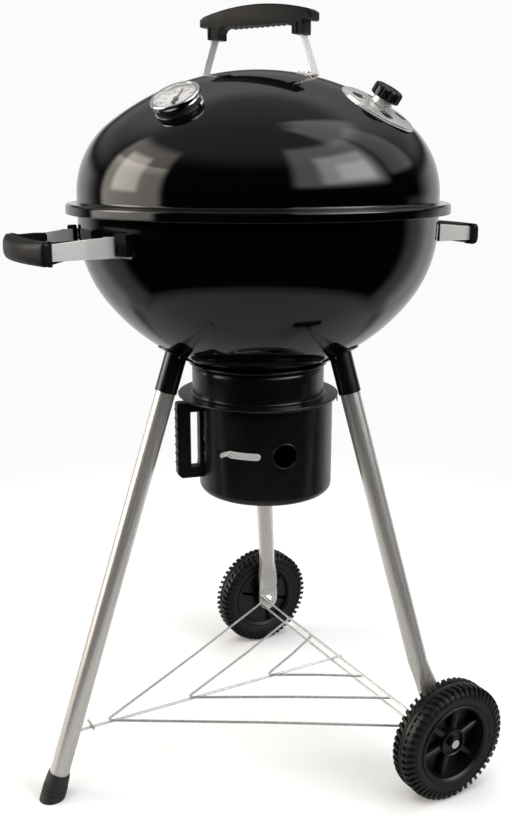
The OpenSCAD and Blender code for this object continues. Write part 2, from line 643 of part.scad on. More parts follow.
bowl();
grate_tabs();
charcoal_grate();
cooking_grate();
foot_leg_socket();
right_leg_socket();
rear_leg_socket();
socket_screws();
foot_leg();
right_leg();
rear_leg();
foot_cap();
rack_centre_wire();
rack_outer_arms();
rack_middle_arms();
rack_inner_arms();
rack_side_wires();
rack_cross_pin();
wheel_bolts();
wheel_nuts();
right_tyre();
right_wheel_rim();
right_wheel_bush();
rear_tyre();
rear_wheel_rim();
rear_wheel_bush();
left_handle_bracket();
left_handle_grip();
right_handle_bracket();
right_handle_grip();
handle_mount_blocks();
handle_screws();
ash_collar();
ash_neck();
can_clips();
ash_can();
ash_can_handle();
ash_can_screws();
air_ring();
air_ring_lever();
lid_shell();
lid_handle_straps();
lid_handle_grip();
lid_handle_screws();
vent_base_plate();
vent_damper();
vent_stem();
vent_knob();
thermometer_seat();
thermometer_case();
thermometer_dial();
thermometer_needle();
thermometer_glass();
thermometer_probe();
thermometer_nut();
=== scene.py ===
from math import atan2, cos, degrees, pi, radians, sin, sqrt

import bmesh
import bpy
from mathutils import Matrix, Vector

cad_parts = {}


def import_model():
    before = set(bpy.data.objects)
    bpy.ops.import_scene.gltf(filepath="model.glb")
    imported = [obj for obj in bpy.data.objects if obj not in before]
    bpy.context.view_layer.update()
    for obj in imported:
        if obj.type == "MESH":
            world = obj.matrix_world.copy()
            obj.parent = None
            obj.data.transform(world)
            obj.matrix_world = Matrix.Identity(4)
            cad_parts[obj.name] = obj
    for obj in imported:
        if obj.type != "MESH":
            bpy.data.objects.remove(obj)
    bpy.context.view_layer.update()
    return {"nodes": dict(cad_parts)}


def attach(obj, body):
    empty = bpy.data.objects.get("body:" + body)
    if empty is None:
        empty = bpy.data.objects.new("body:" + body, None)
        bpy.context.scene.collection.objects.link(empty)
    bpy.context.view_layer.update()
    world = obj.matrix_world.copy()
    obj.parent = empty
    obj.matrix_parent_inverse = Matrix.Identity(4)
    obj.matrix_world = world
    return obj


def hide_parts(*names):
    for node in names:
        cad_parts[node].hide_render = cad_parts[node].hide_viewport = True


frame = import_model()
NODE = frame["nodes"]

# ---- sizes shared with the CAD, in millimetres, angles in degrees ----
KETTLE_X = 5.0
RIM_Z = 897.0
LID_Z = 897.3
LID = (268.0, 12.0, 130.0, 357.0)        # radius, band, knuckle and crown of the lid
BOWL_Z = 886.0
BOWL = (268.0, 20.0, 180.0, 290.0)
SHEET = 1.2
SKIRT_R, SKIRT_H = 285.0, 13.6
MOUTH_R = 92.5
VENT_AZ, VENT_TILT = -59.0, 32.3
DIAL_AZ, DIAL_TILT = -152.0, 32.9
LID_HANDLE_AZ = -60.0
VENT_HOLE_R, VENT_RING = 10.0, 34.5
LID_GRIP_HALF, POST_X, STRAP_TOP_X, STRAP_FOOT_X = 92.0, 71.0, 73.0, 94.0
FOOT_REACH, SOCKET_REACH, SOCKET_Z = 368.0, 159.0, 624.0
LEG_R, TUBE_IN = 15.0, 44.0
AXLE_X, HALF_TRACK, WHEEL_R, WHEEL_W = 173.0, 290.0, 94.0, 43.0
AXLE_AIM_Y, RACK_Z, BLADE_Y = 259.0, 94.0, 262.0
HANDLE_Z, GRIP_Z = 849.0, 844.0
CAN_AZ, CAN_OFFSET, CAN_R, CAN_Z, CAN_TOP, AIR_Z = -30.0, 12.0, 105.5, 449.0, 601.0, 530.0
AIR_AZ = (256.5, 346.5, 76.5, 166.5)
AIR_HOLE_R = 18.5
CAN_HANDLE_AZ = 166.5
LEVER_AZ = (203.0, 236.0)
NECK_R, NECK_TOP, NECK_Z, NECK_FLANGE_R = 103.3, 654.5, 604.4, 126.2


def crown_centre(r, band, k, c):
    return band - sqrt((c - k) ** 2 - (r - k) ** 2)


LID_CROWN_Z = LID_Z + crown_centre(*LID)

# ---- placing: matrices in millimetres ----
MM = 0.001
I4 = Matrix.Identity(4)
UP = Vector((0, 0, 1))


def move(x, y, z):
    return Matrix.Translation((x, y, z))


def turn(angle, axis):
    return Matrix.Rotation(radians(angle), 4, axis)


def on_kettle(azimuth=0.0):
    return move(KETTLE_X, 0, 0) @ turn(azimuth, "Z")


def on_lid(azimuth, tilt, h=0.0):
    return move(KETTLE_X, 0, LID_CROWN_Z) @ turn(azimuth, "Z") @ turn(tilt, "Y") @ move(0, 0, LID[3] + h)


def on_can(azimuth=0.0):
    a = radians(CAN_AZ)
    return move(KETTLE_X + CAN_OFFSET * cos(a), CAN_OFFSET * sin(a), 0) @ turn(azimuth, "Z")


def on_axle(side):
    return move(KETTLE_X + AXLE_X, side * HALF_TRACK, WHEEL_R) @ turn(180 if side > 0 else 0, "Z") @ turn(90, "X")


def leg_top(az):
    return Vector((SOCKET_REACH * cos(radians(az)), SOCKET_REACH * sin(radians(az)), SOCKET_Z))


def leg_aim(az):
    if az == 180:
        return Vector((-FOOT_REACH, 0, 0))
    return Vector((AXLE_X, -AXLE_AIM_Y if az > 180 else AXLE_AIM_Y, RACK_Z))


def up_leg(az):
    """+Z goes up the leg from the socket's mouth, +Y is level."""
    p = leg_top(az)
    z = (p - leg_aim(az)).normalized()
    y = z.cross(UP).normalized()
    x = y.cross(z)
    m = Matrix((x, y, z)).transposed().to_4x4()
    return move(KETTLE_X, 0, 0) @ move(*p) @ m


# ---- shapes ----
def each(value, i):
    """The i-th of several values, or the one value."""
    return value[i] if isinstance(value, (list, tuple)) else value


def round_z(pairs, a):
    """(radius, height) pairs as points at the angle a, in radians."""
    return [(r * cos(a), r * sin(a), z) for r, z in pairs]


def arc(cx, cy, r, a0, a1, n):
    angles = [radians(a0 + (a1 - a0) * i / n) for i in range(n + 1)]
    return [(cx + r * cos(a), cy + r * sin(a)) for a in angles]


def dish(r, band, k, c, n_crown=40, n_knuckle=28):
    """Right half of a dish from its top to the end of its band, as (radius, height)."""
    zc = crown_centre(r, band, k, c)
    a = degrees(atan2(band - zc, r - k))
    return arc(0, zc, c, 90, a, n_crown) + arc(r - k, band, k, a, 0, n_knuckle)[1:] + [(r, 0.0)]


def rounded(outline, radius, n=4):
    """Rounds the corners of a closed outline; radius is one number or one per corner."""
    out, count = [], len(outline)
    for i, p in enumerate(outline):
        r = each(radius, i)
        p = Vector(p)
        a = Vector(outline[i - 1]) - p
        b = Vector(outline[(i + 1) % count]) - p
        if r <= 0:
            out.append(tuple(p))
            continue
        half = a.angle(b) / 2
        d = min(r / max(1e-6, abs(sin(half) / cos(half))), a.length * 0.49, b.length * 0.49)
        p0, p1 = p + a.normalized() * d, p + b.normalized() * d
        for j in range(n + 1):
            t = j / n
            out.append(tuple((1 - t) ** 2 * p0 + 2 * t * (1 - t) * p + t * t * p1))
    return out


def circle(r, n=32, cx=0.0, cy=0.0):
    return [(cx + r * cos(2 * pi * i / n), cy + r * sin(2 * pi * i / n)) for i in range(n)]


def rect(x0, y0, x1, y1):
    return [(x0, y0), (x1, y0), (x1, y1), (x0, y1)]


def oval(a, b, power, n=40):
    """Superellipse outline, from a circle (power 2) to a rounded box (power 6 and more)."""
    out = []
    for i in range(n):
        t = 2 * pi * i / n
        c, s = cos(t), sin(t)
        out.append((a * abs(c) ** (2 / power) * (1 if c >= 0 else -1),
                    b * abs(s) ** (2 / power) * (1 if s >= 0 else -1)))
    return out


class Shape:
    """Closed solids in millimetres, collected into one mesh."""

    def __init__(self):
        self.bm = bmesh.new()

    def loft(self, rows, m=I4, ring=True, wrap=False, caps=True):
        made = [[self.bm.verts.new(m @ Vector(p)) for p in row] for row in rows]
        pairs = list(zip(made, made[1:])) + ([(made[-1], made[0])] if wrap else [])
        count = len(rows[0])
        for a, b in pairs:
            for i in range(count if ring else count - 1):
                j = (i + 1) % count
                self.bm.faces.new((a[i], a[j], b[j], b[i]))
        if caps and not wrap:
            self.bm.faces.new(made[0][::-1])
            self.bm.faces.new(made[-1])
        return self

    def lathe(self, profile, m=I4, n=96, closed=True):
        """Turns a (radius, height) outline about Z: a closed one, or a line from the axis and back to it."""
        return self.loft([round_z(profile, 2 * pi * k / n) for k in range(n)], m, ring=closed, wrap=True)

    def prism(self, outline, z0, z1, m=I4):
        return self.loft([[(x, y, z) for x, y in outline] for z in (z0, z1)], m)

    def box(self, lo, hi, m=I4):
        return self.prism(rect(*lo[:2], *hi[:2]), lo[2], hi[2], m)

    def tube(self, points, r, m=I4, n=16, outline=None):
        """Sweeps a circle, or an outline, along points."""
        pts = [Vector(p) for p in points]
        tangents = [(pts[min(i + 1, len(pts) - 1)] - pts[max(i - 1, 0)]).normalized() for i in range(len(pts))]
        side = tangents[0].orthogonal().normalized()
        rows = []
        for i, (p, t) in enumerate(zip(pts, tangents)):
            side = (side - t * side.dot(t)).normalized()
            up = t.cross(side)
            radius = each(r, i)
            rows.append([p + side * (x * radius) + up * (y * radius) for x, y in (outline or circle(1.0, n))])
        return self.loft(rows, m)

    def strip(self, points, thick, z0, z1, m=I4):
        """A flat strip that follows points in the XY plane; z0 and z1 may be one number or one per point."""
        pts = [Vector((p[0], p[1])) for p in points]
        rows = []
        for i, p in enumerate(pts):
            a = (p - pts[i - 1]) if i else (pts[1] - p)
            b = (pts[i + 1] - p) if i < len(pts) - 1 else a
            na, nb = Vector((-a.y, a.x)).normalized(), Vector((-b.y, b.x)).normalized()
            o = (na + nb) / max(0.2, (na + nb).dot(na)) * thick / 2
            lo, hi = each(z0, i), each(z1, i)
            left, right = p + o, p - o
            rows.append([(*left, lo), (*right, lo), (*right, hi), (*left, hi)])
        return self.loft(rows, m)

    def mesh(self, name, merge=0.002):
        bm, me = self.bm, bpy.data.meshes.new(name)
        bmesh.ops.remove_doubles(bm, verts=bm.verts, dist=merge)
        bmesh.ops.dissolve_degenerate(bm, edges=bm.edges, dist=merge)
        bmesh.ops.recalc_face_normals(bm, faces=bm.faces)
        bm.to_mesh(me)
        bm.free()
        return me


def add_object(name, data):
    ob = bpy.data.objects.new(name, data)
    bpy.context.scene.collection.objects.link(ob)
    return ob


def evaluated_mesh(ob):
    return bpy.data.meshes.new_from_object(ob.evaluated_get(bpy.context.evaluated_depsgraph_get()))


def cut(me, cutter):
    """The mesh with the cutter's solids taken out of it."""
    a, b = add_object("cut_a", me), add_object("cut_b", cutter.mesh("cutter"))
    mod = a.modifiers.new("cut", "BOOLEAN")
    mod.object, mod.operation, mod.solver = b, "DIFFERENCE", "EXACT"
    mod.use_self = len(me.polygons) < 4000
    out = evaluated_mesh(a)
    for o in (a, b):
        bpy.data.objects.remove(o)
    return out


def piece(name, shape, mat, body, nodes=(), at=I4, minus=None, bevel=0.0, sharp=32.0):
    """One visual piece: shape in millimetres at the placing matrix, riding on a body and standing for CAD nodes."""
    me = shape.mesh(name)
    if minus is not None:
        me = cut(me, minus)
    me.transform(Matrix.Scale(MM, 4))
    me.materials.clear()
    me.materials.append(mat)
    ob = add_object(name, me)
    placed = at.copy()
    placed.translation = at.translation * MM
    ob.matrix_world = placed
    me.shade_smooth()
    me.set_sharp_from_angle(angle=radians(sharp))
    if bevel:
        mod = ob.modifiers.new("edges", "BEVEL")
        mod.width, mod.segments, mod.limit_method = bevel * MM, 2, "ANGLE"
        mod.angle_limit = radians(max(sharp, 30.0))
        mod.harden_normals = False
        me.set_sharp_from_angle(angle=radians(179))
        smooth = ob.modifiers.new("normals", "WEIGHTED_NORMAL")
        smooth.keep_sharp = False
    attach(ob, body)
    if nodes:
        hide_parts(*nodes)
    return ob


# ---- materials ----
NOISE_LOW, NOISE_HIGH = 0.3, 0.7         # most of a noise pattern lies between these


def put(node, values):
    for key, value in values.items():
        node.inputs[key].default_value = value


def spread(tree, value, lo, hi, to=(0, 1), smooth=False):
    """Maps value from lo..hi to the two numbers of to."""
    node = tree.nodes.new("ShaderNodeMapRange")
    if smooth:
        node.interpolation_type = "SMOOTHSTEP"
    put(node, {"From Min": lo, "From Max": hi, "To Min": to[0], "To Max": to[1]})
    tree.links.new(value, node.inputs["Value"])
    return node.outputs[0]


def material(name, colour, rough, metal=0.0, tone=None, rough_to=None, rough_scale=40, bumps=(), **sockets):
    """Principled surface. tone = (scale, amount) varies the colour, rough_to the roughness;
    bumps = [(kind, scale, strength, mm)]. Scales are features per metre along the piece's own axes:
    one number, or one per axis."""
    m = bpy.data.materials.new(name)
    m.use_nodes = True
    tree = m.node_tree
    nodes, links = tree.nodes, tree.links
    bsdf = nodes["Principled BSDF"]
    where = nodes.new("ShaderNodeTexCoord").outputs["Object"]

    def pattern(kind, scale):
        mapping = nodes.new("ShaderNodeMapping")
        mapping.inputs["Scale"].default_value = [each(scale, i) for i in range(3)]
        links.new(where, mapping.inputs["Vector"])
        tex = nodes.new({"noise": "ShaderNodeTexNoise", "cells": "ShaderNodeTexVoronoi"}[kind])
        tex.inputs["Scale"].default_value = 1.0
        if kind == "noise":
            tex.inputs["Detail"].default_value = 4.0
        links.new(mapping.outputs[0], tex.inputs["Vector"])
        return tex.outputs["Fac" if kind == "noise" else "Distance"]

    put(bsdf, {"Base Color": (*colour, 1), "Metallic": metal, "Roughness": rough})
    put(bsdf, {key.replace("_", " ").title().replace("Ior", "IOR"): value for key, value in sockets.items()})
    if tone:
        scale, amount = tone
        mix = nodes.new("ShaderNodeMix")
        mix.data_type = "RGBA"
        links.new(spread(tree, pattern("noise", scale), NOISE_LOW, NOISE_HIGH), mix.inputs["Factor"])
        put(mix, {"A": (*[c * (1 - amount) for c in colour], 1),
                  "B": (*[min(1, c * (1 + amount)) for c in colour], 1)})
        links.new(mix.outputs["Result"], bsdf.inputs["Base Color"])
    if rough_to is not None:
        varied = spread(tree, pattern("noise", rough_scale), NOISE_LOW, NOISE_HIGH, (rough, rough_to))
        links.new(varied, bsdf.inputs["Roughness"])
    normal = None
    for kind, scale, strength, depth in bumps:
        bump = nodes.new("ShaderNodeBump")
        put(bump, {"Strength": strength, "Distance": depth * MM})
        links.new(pattern(kind, scale), bump.inputs["Height"])
        if normal:
            links.new(normal, bump.inputs["Normal"])
        normal = bump.outputs["Normal"]
    if normal:
        links.new(normal, bsdf.inputs["Normal"])
    return m


for ob in NODE.values():
    ob.data.materials.clear()
for old in list(bpy.data.materials):
    bpy.data.materials.remove(old)
ENAMEL = material("black_enamel", (0.0012, 0.0012, 0.0014), 0.045, rough_to=0.085, rough_scale=9,
                  bumps=[("noise", 45, 0.05, 0.4), ("noise", 420, 0.025, 0.1)])
SATIN = material("satin_black", (0.0035, 0.0035, 0.004), 0.22, rough_to=0.30, rough_scale=30,
                 bumps=[("noise", 900, 0.08, 0.08)])
BRUSHED = material("brushed_stainless", (0.72, 0.70, 0.67), 0.22, metal=0.80, tone=((900, 900, 6), 0.10),
                   rough_to=0.36, rough_scale=(1100, 1100, 8), bumps=[("noise", (2400, 2400, 10), 0.10, 0.05)])
FLAT_BRUSHED = material("flat_brushed_stainless", (0.90, 0.88, 0.86), 0.32, metal=0.45, tone=((10, 10, 1500), 0.06),
                        rough_to=0.40, rough_scale=(12, 12, 900), bumps=[("noise", (14, 14, 900), 0.06, 0.05)])
CHROME = material("bright_steel", (0.80, 0.80, 0.80), 0.10, metal=1.0, rough_to=0.16, rough_scale=120,
                  bumps=[("noise", 500, 0.03, 0.05)])
DISC = material("vent_steel", (0.86, 0.855, 0.84), 0.26, metal=0.80, tone=(70, 0.03), rough_to=0.32,
                rough_scale=60, bumps=[("noise", 150, 0.02, 0.05)])
STAMPED = material("stamped_steel", (0.90, 0.90, 0.895), 0.26, metal=0.55, tone=((60, 60, 300), 0.05),
                   rough_to=0.36, rough_scale=(60, 60, 300), bumps=[("noise", (80, 80, 240), 0.03, 0.05)])
ZINC = material("zinc_wire", (0.62, 0.62, 0.615), 0.30, metal=0.85, tone=(150, 0.15), rough_to=0.45,
                rough_scale=300, bumps=[("noise", 1500, 0.1, 0.05)])
NYLON = material("black_nylon", (0.004, 0.004, 0.0043), 0.36, rough_to=0.48, rough_scale=60,
                 specular_ior_level=0.24, bumps=[("noise", 1800, 0.35, 0.12), ("cells", 1100, 0.12, 0.10)])
MATT_NYLON = material("matt_nylon", (0.0022, 0.0022, 0.0024), 0.42, rough_to=0.55, rough_scale=60,
                      specular_ior_level=0.10, bumps=[("noise", 1800, 0.30, 0.12)])
GLOSS_NYLON = material("gloss_nylon", (0.0035, 0.0035, 0.0038), 0.34, rough_to=0.44, rough_scale=60,
                       specular_ior_level=0.45, bumps=[("noise", 900, 0.10, 0.08)])
TYRE = material("tyre_rubber", (0.0045, 0.0045, 0.0048), 0.34, tone=(60, 0.2), rough_to=0.50, rough_scale=90,
                specular_ior_level=0.32, bumps=[("noise", 1600, 0.25, 0.10)])
FOOT = material("foot_rubber", (0.010, 0.010, 0.0105), 0.5, rough_to=0.62, bumps=[("noise", 1500, 0.25, 0.10)])
DIAL = material("dial_white", (0.90, 0.90, 0.89), 0.35, tone=(300, 0.02), bumps=[("noise", 3000, 0.05, 0.02)])
INK = material("needle_black", (0.012, 0.012, 0.012), 0.35, rough_to=0.45, bumps=[("noise", 3000, 0.05, 0.02)])
RED = material("dial_red", (0.45, 0.05, 0.04), 0.4, rough_to=0.5)
GLASS = material("clear_glass", (1, 1, 1), 0.02, transmission_weight=1.0, ior=1.45,
                 bumps=[("noise", 200, 0.01, 0.02)])

# looks of the CAD nodes; those not named here are black nylon
CAD_LOOKS = {
    ENAMEL: "bowl lid_shell grate_tabs",
    SATIN: "foot_leg_socket right_leg_socket rear_leg_socket socket_screws handle_screws ash_collar can_clips "
           "air_ring",
    BRUSHED: "foot_leg right_leg rear_leg",
    CHROME: "cooking_grate wheel_bolts wheel_nuts ash_can_screws lid_handle_screws vent_stem thermometer_probe "
            "thermometer_nut",
    ZINC: "charcoal_grate rack_centre_wire rack_outer_arms rack_middle_arms rack_inner_arms rack_side_wires "
          "rack_cross_pin",
    DISC: "vent_base_plate vent_damper",
    FOOT: "foot_cap thermometer_seat",
}
LOOK_OF = {node_name: mat for mat, names in CAD_LOOKS.items() for node_name in names.split()}
for node_name, ob in NODE.items():
    ob.data.materials.append(LOOK_OF.get(node_name, NYLON))
    ob.data.shade_smooth()
    ob.data.set_sharp_from_angle(angle=radians(30))


# ---- lid and bowl ----
def vent_holes(m=I4, n=48):
    """Cutters for the vent's four round holes."""
    shape = Shape()
    for q in range(4):
        shape.prism(circle(VENT_HOLE_R, n), -30, 30, m @ turn(45 + 90 * q, "Z") @ move(VENT_RING, 0, 0))
    return shape


def lid_shell():
    """Dome, rolled flange and skirt, as one turned sheet with the vent's holes in it."""
    r, band, k, c = LID
    out = dish(*LID, 48, 32)[:-1]
    inner = dish(r - SHEET, band, k - SHEET, c - SHEET, 48, 32)
    rim = [(r, 7.0)] + arc(r + 4.2, 6.6, 4.2, 180, 262, 8) + [(r + 6.0, 2.0), (r + 6.8, 2.5)]
    low, fold, fold_z = SHEET - SKIRT_H, 5.0, -2.6
    rim += arc(SKIRT_R - fold, fold_z, fold, 68, 0, 10)
    rim += [(SKIRT_R, low + 1.0)] + arc(SKIRT_R - 1.2, low + 1.2, 1.2, 0, -180, 8)
    rim += arc(SKIRT_R - fold, fold_z, fold - SHEET * 2, 0, 84, 8)
    rim += [(r + 6.0, 0.3), (r + 2.0, 0.1), (r - SHEET, 0.0)]
    shape = Shape().lathe(out + rim + inner[::-1][1:], n=288)
    holes = vent_holes(move(-KETTLE_X, 0, -LID_Z) @ on_lid(VENT_AZ, VENT_TILT), 40)
    piece("lid_dome", shape, ENAMEL, "lid", ["lid_shell"], move(KETTLE_X, 0, LID_Z), minus=holes, sharp=60)


def bowl():
    r, band, k, c = BOWL
    z_low = sqrt(c * c - MOUTH_R ** 2) + crown_centre(*BOWL)
    out = [p for p in dish(*BOWL, 60, 32)[:-1] if p[0] > MOUTH_R + 1]
    inner = [p for p in dish(r - SHEET, band, k - SHEET, c - SHEET, 60, 32)[:-1] if p[0] > MOUTH_R + 1]
    top = BOWL_Z - RIM_Z
    rim = [(r, top + 5)] + arc(r + 3.5, top + 5.0, 3.5, 180, 250, 5) + arc(r + 9.4, top + 3.2, 3.2, 100, -90, 14)
    rim += [(r + 6, top), (r + 1.2, top)] + arc(r + 1.2, top + 2.4, 2.4, 270, 180, 5)
    profile = [(MOUTH_R, z_low)] + out + rim + inner[::-1] + [(MOUTH_R, z_low - SHEET)]
    piece("bowl_dish", Shape().lathe([(x, -y) for x, y in profile], n=288), ENAMEL, "frame", ["bowl"],
          move(KETTLE_X, 0, BOWL_Z), sharp=60)


lid_shell()
bowl()


# ---- legs ----
def tube_profile(r, wall, z0, z1, lip=0.6):
    return [(r - wall, z0), (r - lip, z0), (r, z0 + lip), (r, z1 - lip), (r - lip, z1), (r - wall, z1)]


def foot_leg():
    m = up_leg(180)
    length = (leg_top(180) - leg_aim(180)).length
    piece("foot_leg_tube", Shape().lathe(tube_profile(LEG_R, 1.5, 8 - length, TUBE_IN), n=64), BRUSHED, "frame",
          ["foot_leg"], m)
    # ribbed rubber cap, cut level where it stands
    z = -length
    bore, cap_r, groove_r = LEG_R + 0.05, 19.0, 17.9
    rib = []
    for k in range(3):
        foot = z + 6 * k
        rib += [(cap_r, foot + 6), (cap_r, foot + 9.4), (groove_r, foot + 10.0), (groove_r, foot + 11.4)]
    profile = [(0, z - 20), (cap_r, z - 20)] + rib
    profile += [(18.4, z + 25), (17.6, z + 37), (16.6, z + 42), (bore, z + 42.2), (bore, z + 8), (0, z + 8)]
    shape = Shape().lathe(profile, n=64)
    bm = shape.bm
    bmesh.ops.remove_doubles(bm, verts=bm.verts, dist=0.002)
    down = m.inverted() @ Vector((0, 0, 0))
    up = (m.to_3x3().inverted() @ UP).normalized()
    got = bmesh.ops.bisect_plane(bm, geom=bm.verts[:] + bm.edges[:] + bm.faces[:], plane_co=down, plane_no=up,
                                 clear_inner=True)
    bmesh.ops.edgeloop_fill(bm, edges=[e for e in got["geom_cut"] if isinstance(e, bmesh.types.BMEdge)])
    bmesh.ops.transform(bm, matrix=m, verts=bm.verts)
    piece("foot_cap_ribbed", shape, FOOT, "frame", ["foot_cap"], sharp=40)


BLADE_W, BLADE_T = 20.0, 3.5             # half width and half thickness of the pressed end


def wheel_leg(side, name):
    """Round tube pressed flat above the axle, with its end rounded off."""
    az = 60 if side > 0 else 300
    m = up_leg(az)
    length = (leg_top(az) - leg_aim(az)).length
    low = -(length - 80)
    rows, n = [], 48
    axis = m.to_3x3() @ UP
    wide_x = Vector((1, 0, 0))
    start = m @ Vector((0, 0, low + 34))
    end = Vector((KETTLE_X + AXLE_X, side * BLADE_Y, 128))
    v = (wide_x - axis * wide_x.dot(axis)).normalized()
    w = axis.cross(v)
    for z in (TUBE_IN, TUBE_IN - 1, 0, low / 2, low + 60, low + 36):
        c = m @ Vector((0, 0, z))
        rows.append([c + v * x + w * y for x, y in oval(LEG_R, LEG_R, 2, n)])
    steps = 9
    for i in range(steps + 1):
        t = i / steps
        s = t * t * (3 - 2 * t)
        up = axis.lerp(UP, s).normalized()
        v = (wide_x - up * wide_x.dot(up)).normalized()
        w = up.cross(v)
        c = start.lerp(end, t)
        a, b = LEG_R + (BLADE_W - LEG_R) * s, LEG_R + (BLADE_T - LEG_R) * min(1, s * 1.08)
        rows.append([c + v * x + w * y for x, y in oval(a, b, 2 + 5 * s * s, n)])
    # the blade, and its end rounded off below the axle
    blade = [(BLADE_W, 20), (BLADE_W, 8), (BLADE_W, 0)]
    blade += [(BLADE_W * cos(radians(a)), -BLADE_W * sin(radians(a))) for a in range(12, 90, 13)]
    for wide, z in blade:
        rows.append([Vector((KETTLE_X + AXLE_X + x, side * BLADE_Y - y, WHEEL_R + z))
                     for x, y in oval(wide, BLADE_T, 8, n)])
    # into the leg's own frame, so that the brushing runs along it
    back = m.inverted()
    shape = Shape().loft([[back @ Vector(p) for p in row] for row in rows])
    piece(name + "_leg_tube", shape, BRUSHED, "frame", [name + "_leg"], m, sharp=50)


foot_leg()
wheel_leg(-1, "right")
wheel_leg(1, "rear")


# ---- wheels ----
LUGS, SPOKES = 52, 6
TREAD_R = WHEEL_R - 4.2
BEAD_R, BORE_R = 63.0, 8.02
# one tread block: height off the middle plane, how far it leads and how wide it is, in degrees
LUG_STATIONS = [(4.4, 3.4, 3.0), (8.0, 2.6, 3.2), (13.5, 1.4, 3.5), (17.5, 0.6, 3.6), (20.2, 0.2, 3.6),
                (21.4, 0.0, 3.5)]
SHOULDER = 8.0                           # radius of the tread's shoulder


def tyre_radius(z):
    """Outside of the tread blocks at a distance from the wheel's middle plane."""
    over = max(0.0, abs(z) - (WHEEL_W / 2 - SHOULDER))
    return WHEEL_R - SHOULDER + sqrt(max(0.0, SHOULDER ** 2 - over * over))


def wheel(side, name):
    m = on_axle(side)
    half = WHEEL_W / 2
    body = name + "_wheel"
    side_wall = [(BEAD_R, half - 7), (BEAD_R + 1.5, half - 3.0), (BEAD_R + 3.0, half - 2.2), (72, half - 1.4),
                 (76.4, half - 1.2), (76.8, half - 1.9), (77.6, half - 1.9), (78.2, half - 1.0), (81, half - 1.3),
                 (84, half - 3.2), (87.5, half - 6), (TREAD_R, half - 10)]
    crown = [(TREAD_R + 0.2, 8), (TREAD_R + 0.2, 5.4), (WHEEL_R - 1.6, 4.8), (WHEEL_R - 1.2, 0.8), (WHEEL_R - 2.2, 0)]
    upper = side_wall + crown
    profile = upper + [(r, -z) for r, z in upper[::-1][1:]]
    shape = Shape().lathe(profile, n=144)
    for flip in (-1, 1):
        for k in range(LUGS):
            base = 360 * (k + (0.5 if flip > 0 else 0)) / LUGS
            rows = []
            for z, lead, wide in LUG_STATIONS:
                top = tyre_radius(z) if z < 20.5 else 80.5
                top = min(top, WHEEL_R) if z > 5 else WHEEL_R - 0.4
                bottom = TREAD_R - 2.5 if z < 17 else 79.0
                if z > 20:
                    top, bottom = (84.2, 79.0) if z < 21 else (82.0, 78.8)
                row = []
                h = wide / 2
                for r, d in ((bottom, -h), (top, -h + 0.12), (top, h - 0.12), (bottom, h)):
                    row += round_z([(r, flip * z)], radians(base + lead + d))
                rows.append(row)
            shape.loft(rows)
    piece(name + "_tyre_treaded", shape, TYRE, body, [name + "_tyre"], m, sharp=38)

    # rim: ring with a step, recessed web, six round spokes and a boss
    rim = Shape()
    lip = [(BEAD_R - 0.02, -half + 5), (BEAD_R - 0.02, half - 5), (BEAD_R + 1.2, half - 2.2), (BEAD_R, half - 0.8),
           (60.8, half - 0.6), (59.8, half - 2.0), (57.4, half - 4.0), (56.2, 4.0), (55.4, -6), (55.4, -half + 6),
           (59.5, -half + 1.5), (BEAD_R + 1.0, -half + 1.5)]
    rim.lathe(lip, n=120)
    rim.lathe([(19, -9), (56, -9), (56, -6.5), (44, -6.0), (24, -3.0), (19, -2)], n=96)
    rim.lathe([(BORE_R, -half + 2), (20, -half + 2), (21.5, -8), (22.2, 2), (22.2, 12.4), (21.6, 13.8), (20.2, 14.2),
               (19.0, 13.2), (18.2, 8.4), (BORE_R, 7.6)], n=72)
    for k in range(SPOKES):
        at = turn(360 / SPOKES * k + 18, "Z")
        rim.tube([(20.5, 0, 3.6), (34, 0, 3.2), (48, 0, 2.4), (56.4, 0, 1.8)], [6.4, 6.1, 6.0, 6.0],
                 at, n=24)
        rim.box((20.5, -2.6, -9), (56, 2.6, 0), at)
    piece(name + "_wheel_hub", rim, GLOSS_NYLON, body, [name + "_wheel_rim"], m, sharp=38)


wheel(-1, "right")
wheel(1, "rear")


# ---- flat straps, wires ----
def bent(points, r, n=5):
    """Rounds the inner corners of an open line."""
    out = [tuple(points[0])]
    for i in range(1, len(points) - 1):
        p, a, b = (Vector(points[j]) for j in (i, i - 1, i + 1))
        d = min(r, (a - p).length * 0.45, (b - p).length * 0.45)
        p0, p1 = p + (a - p).normalized() * d, p + (b - p).normalized() * d
        out += [tuple((1 - t / n) ** 2 * p0 + 2 * t / n * (1 - t / n) * p + (t / n) ** 2 * p1) for t in range(n + 1)]
    return out + [tuple(points[-1])]


def domed(points, r):
    """Line and radii of a rod with rounded ends."""
    pts = [Vector(p) for p in points]
    start, end = (pts[1] - pts[0]).normalized(), (pts[-1] - pts[-2]).normalized()
    steps = (0.0, 0.3, 0.65, 1.0)
    cap = [r * max(0.12, sqrt(1 - (1 - k) ** 2)) for k in steps]
    line = [pts[0] + start * r * k for k in steps] + pts[1:-1] + [pts[-1] - end * r * k for k in steps[::-1]]
    return line, cap + [r] * (len(pts) - 2) + cap[::-1]


WIRE_R = 2.0
RACK_RISE = 0.93
RACK_APEX = (-273.0, -132.0, 19.0)
RACK_REACH = (254.0, 160.0, 81.0)


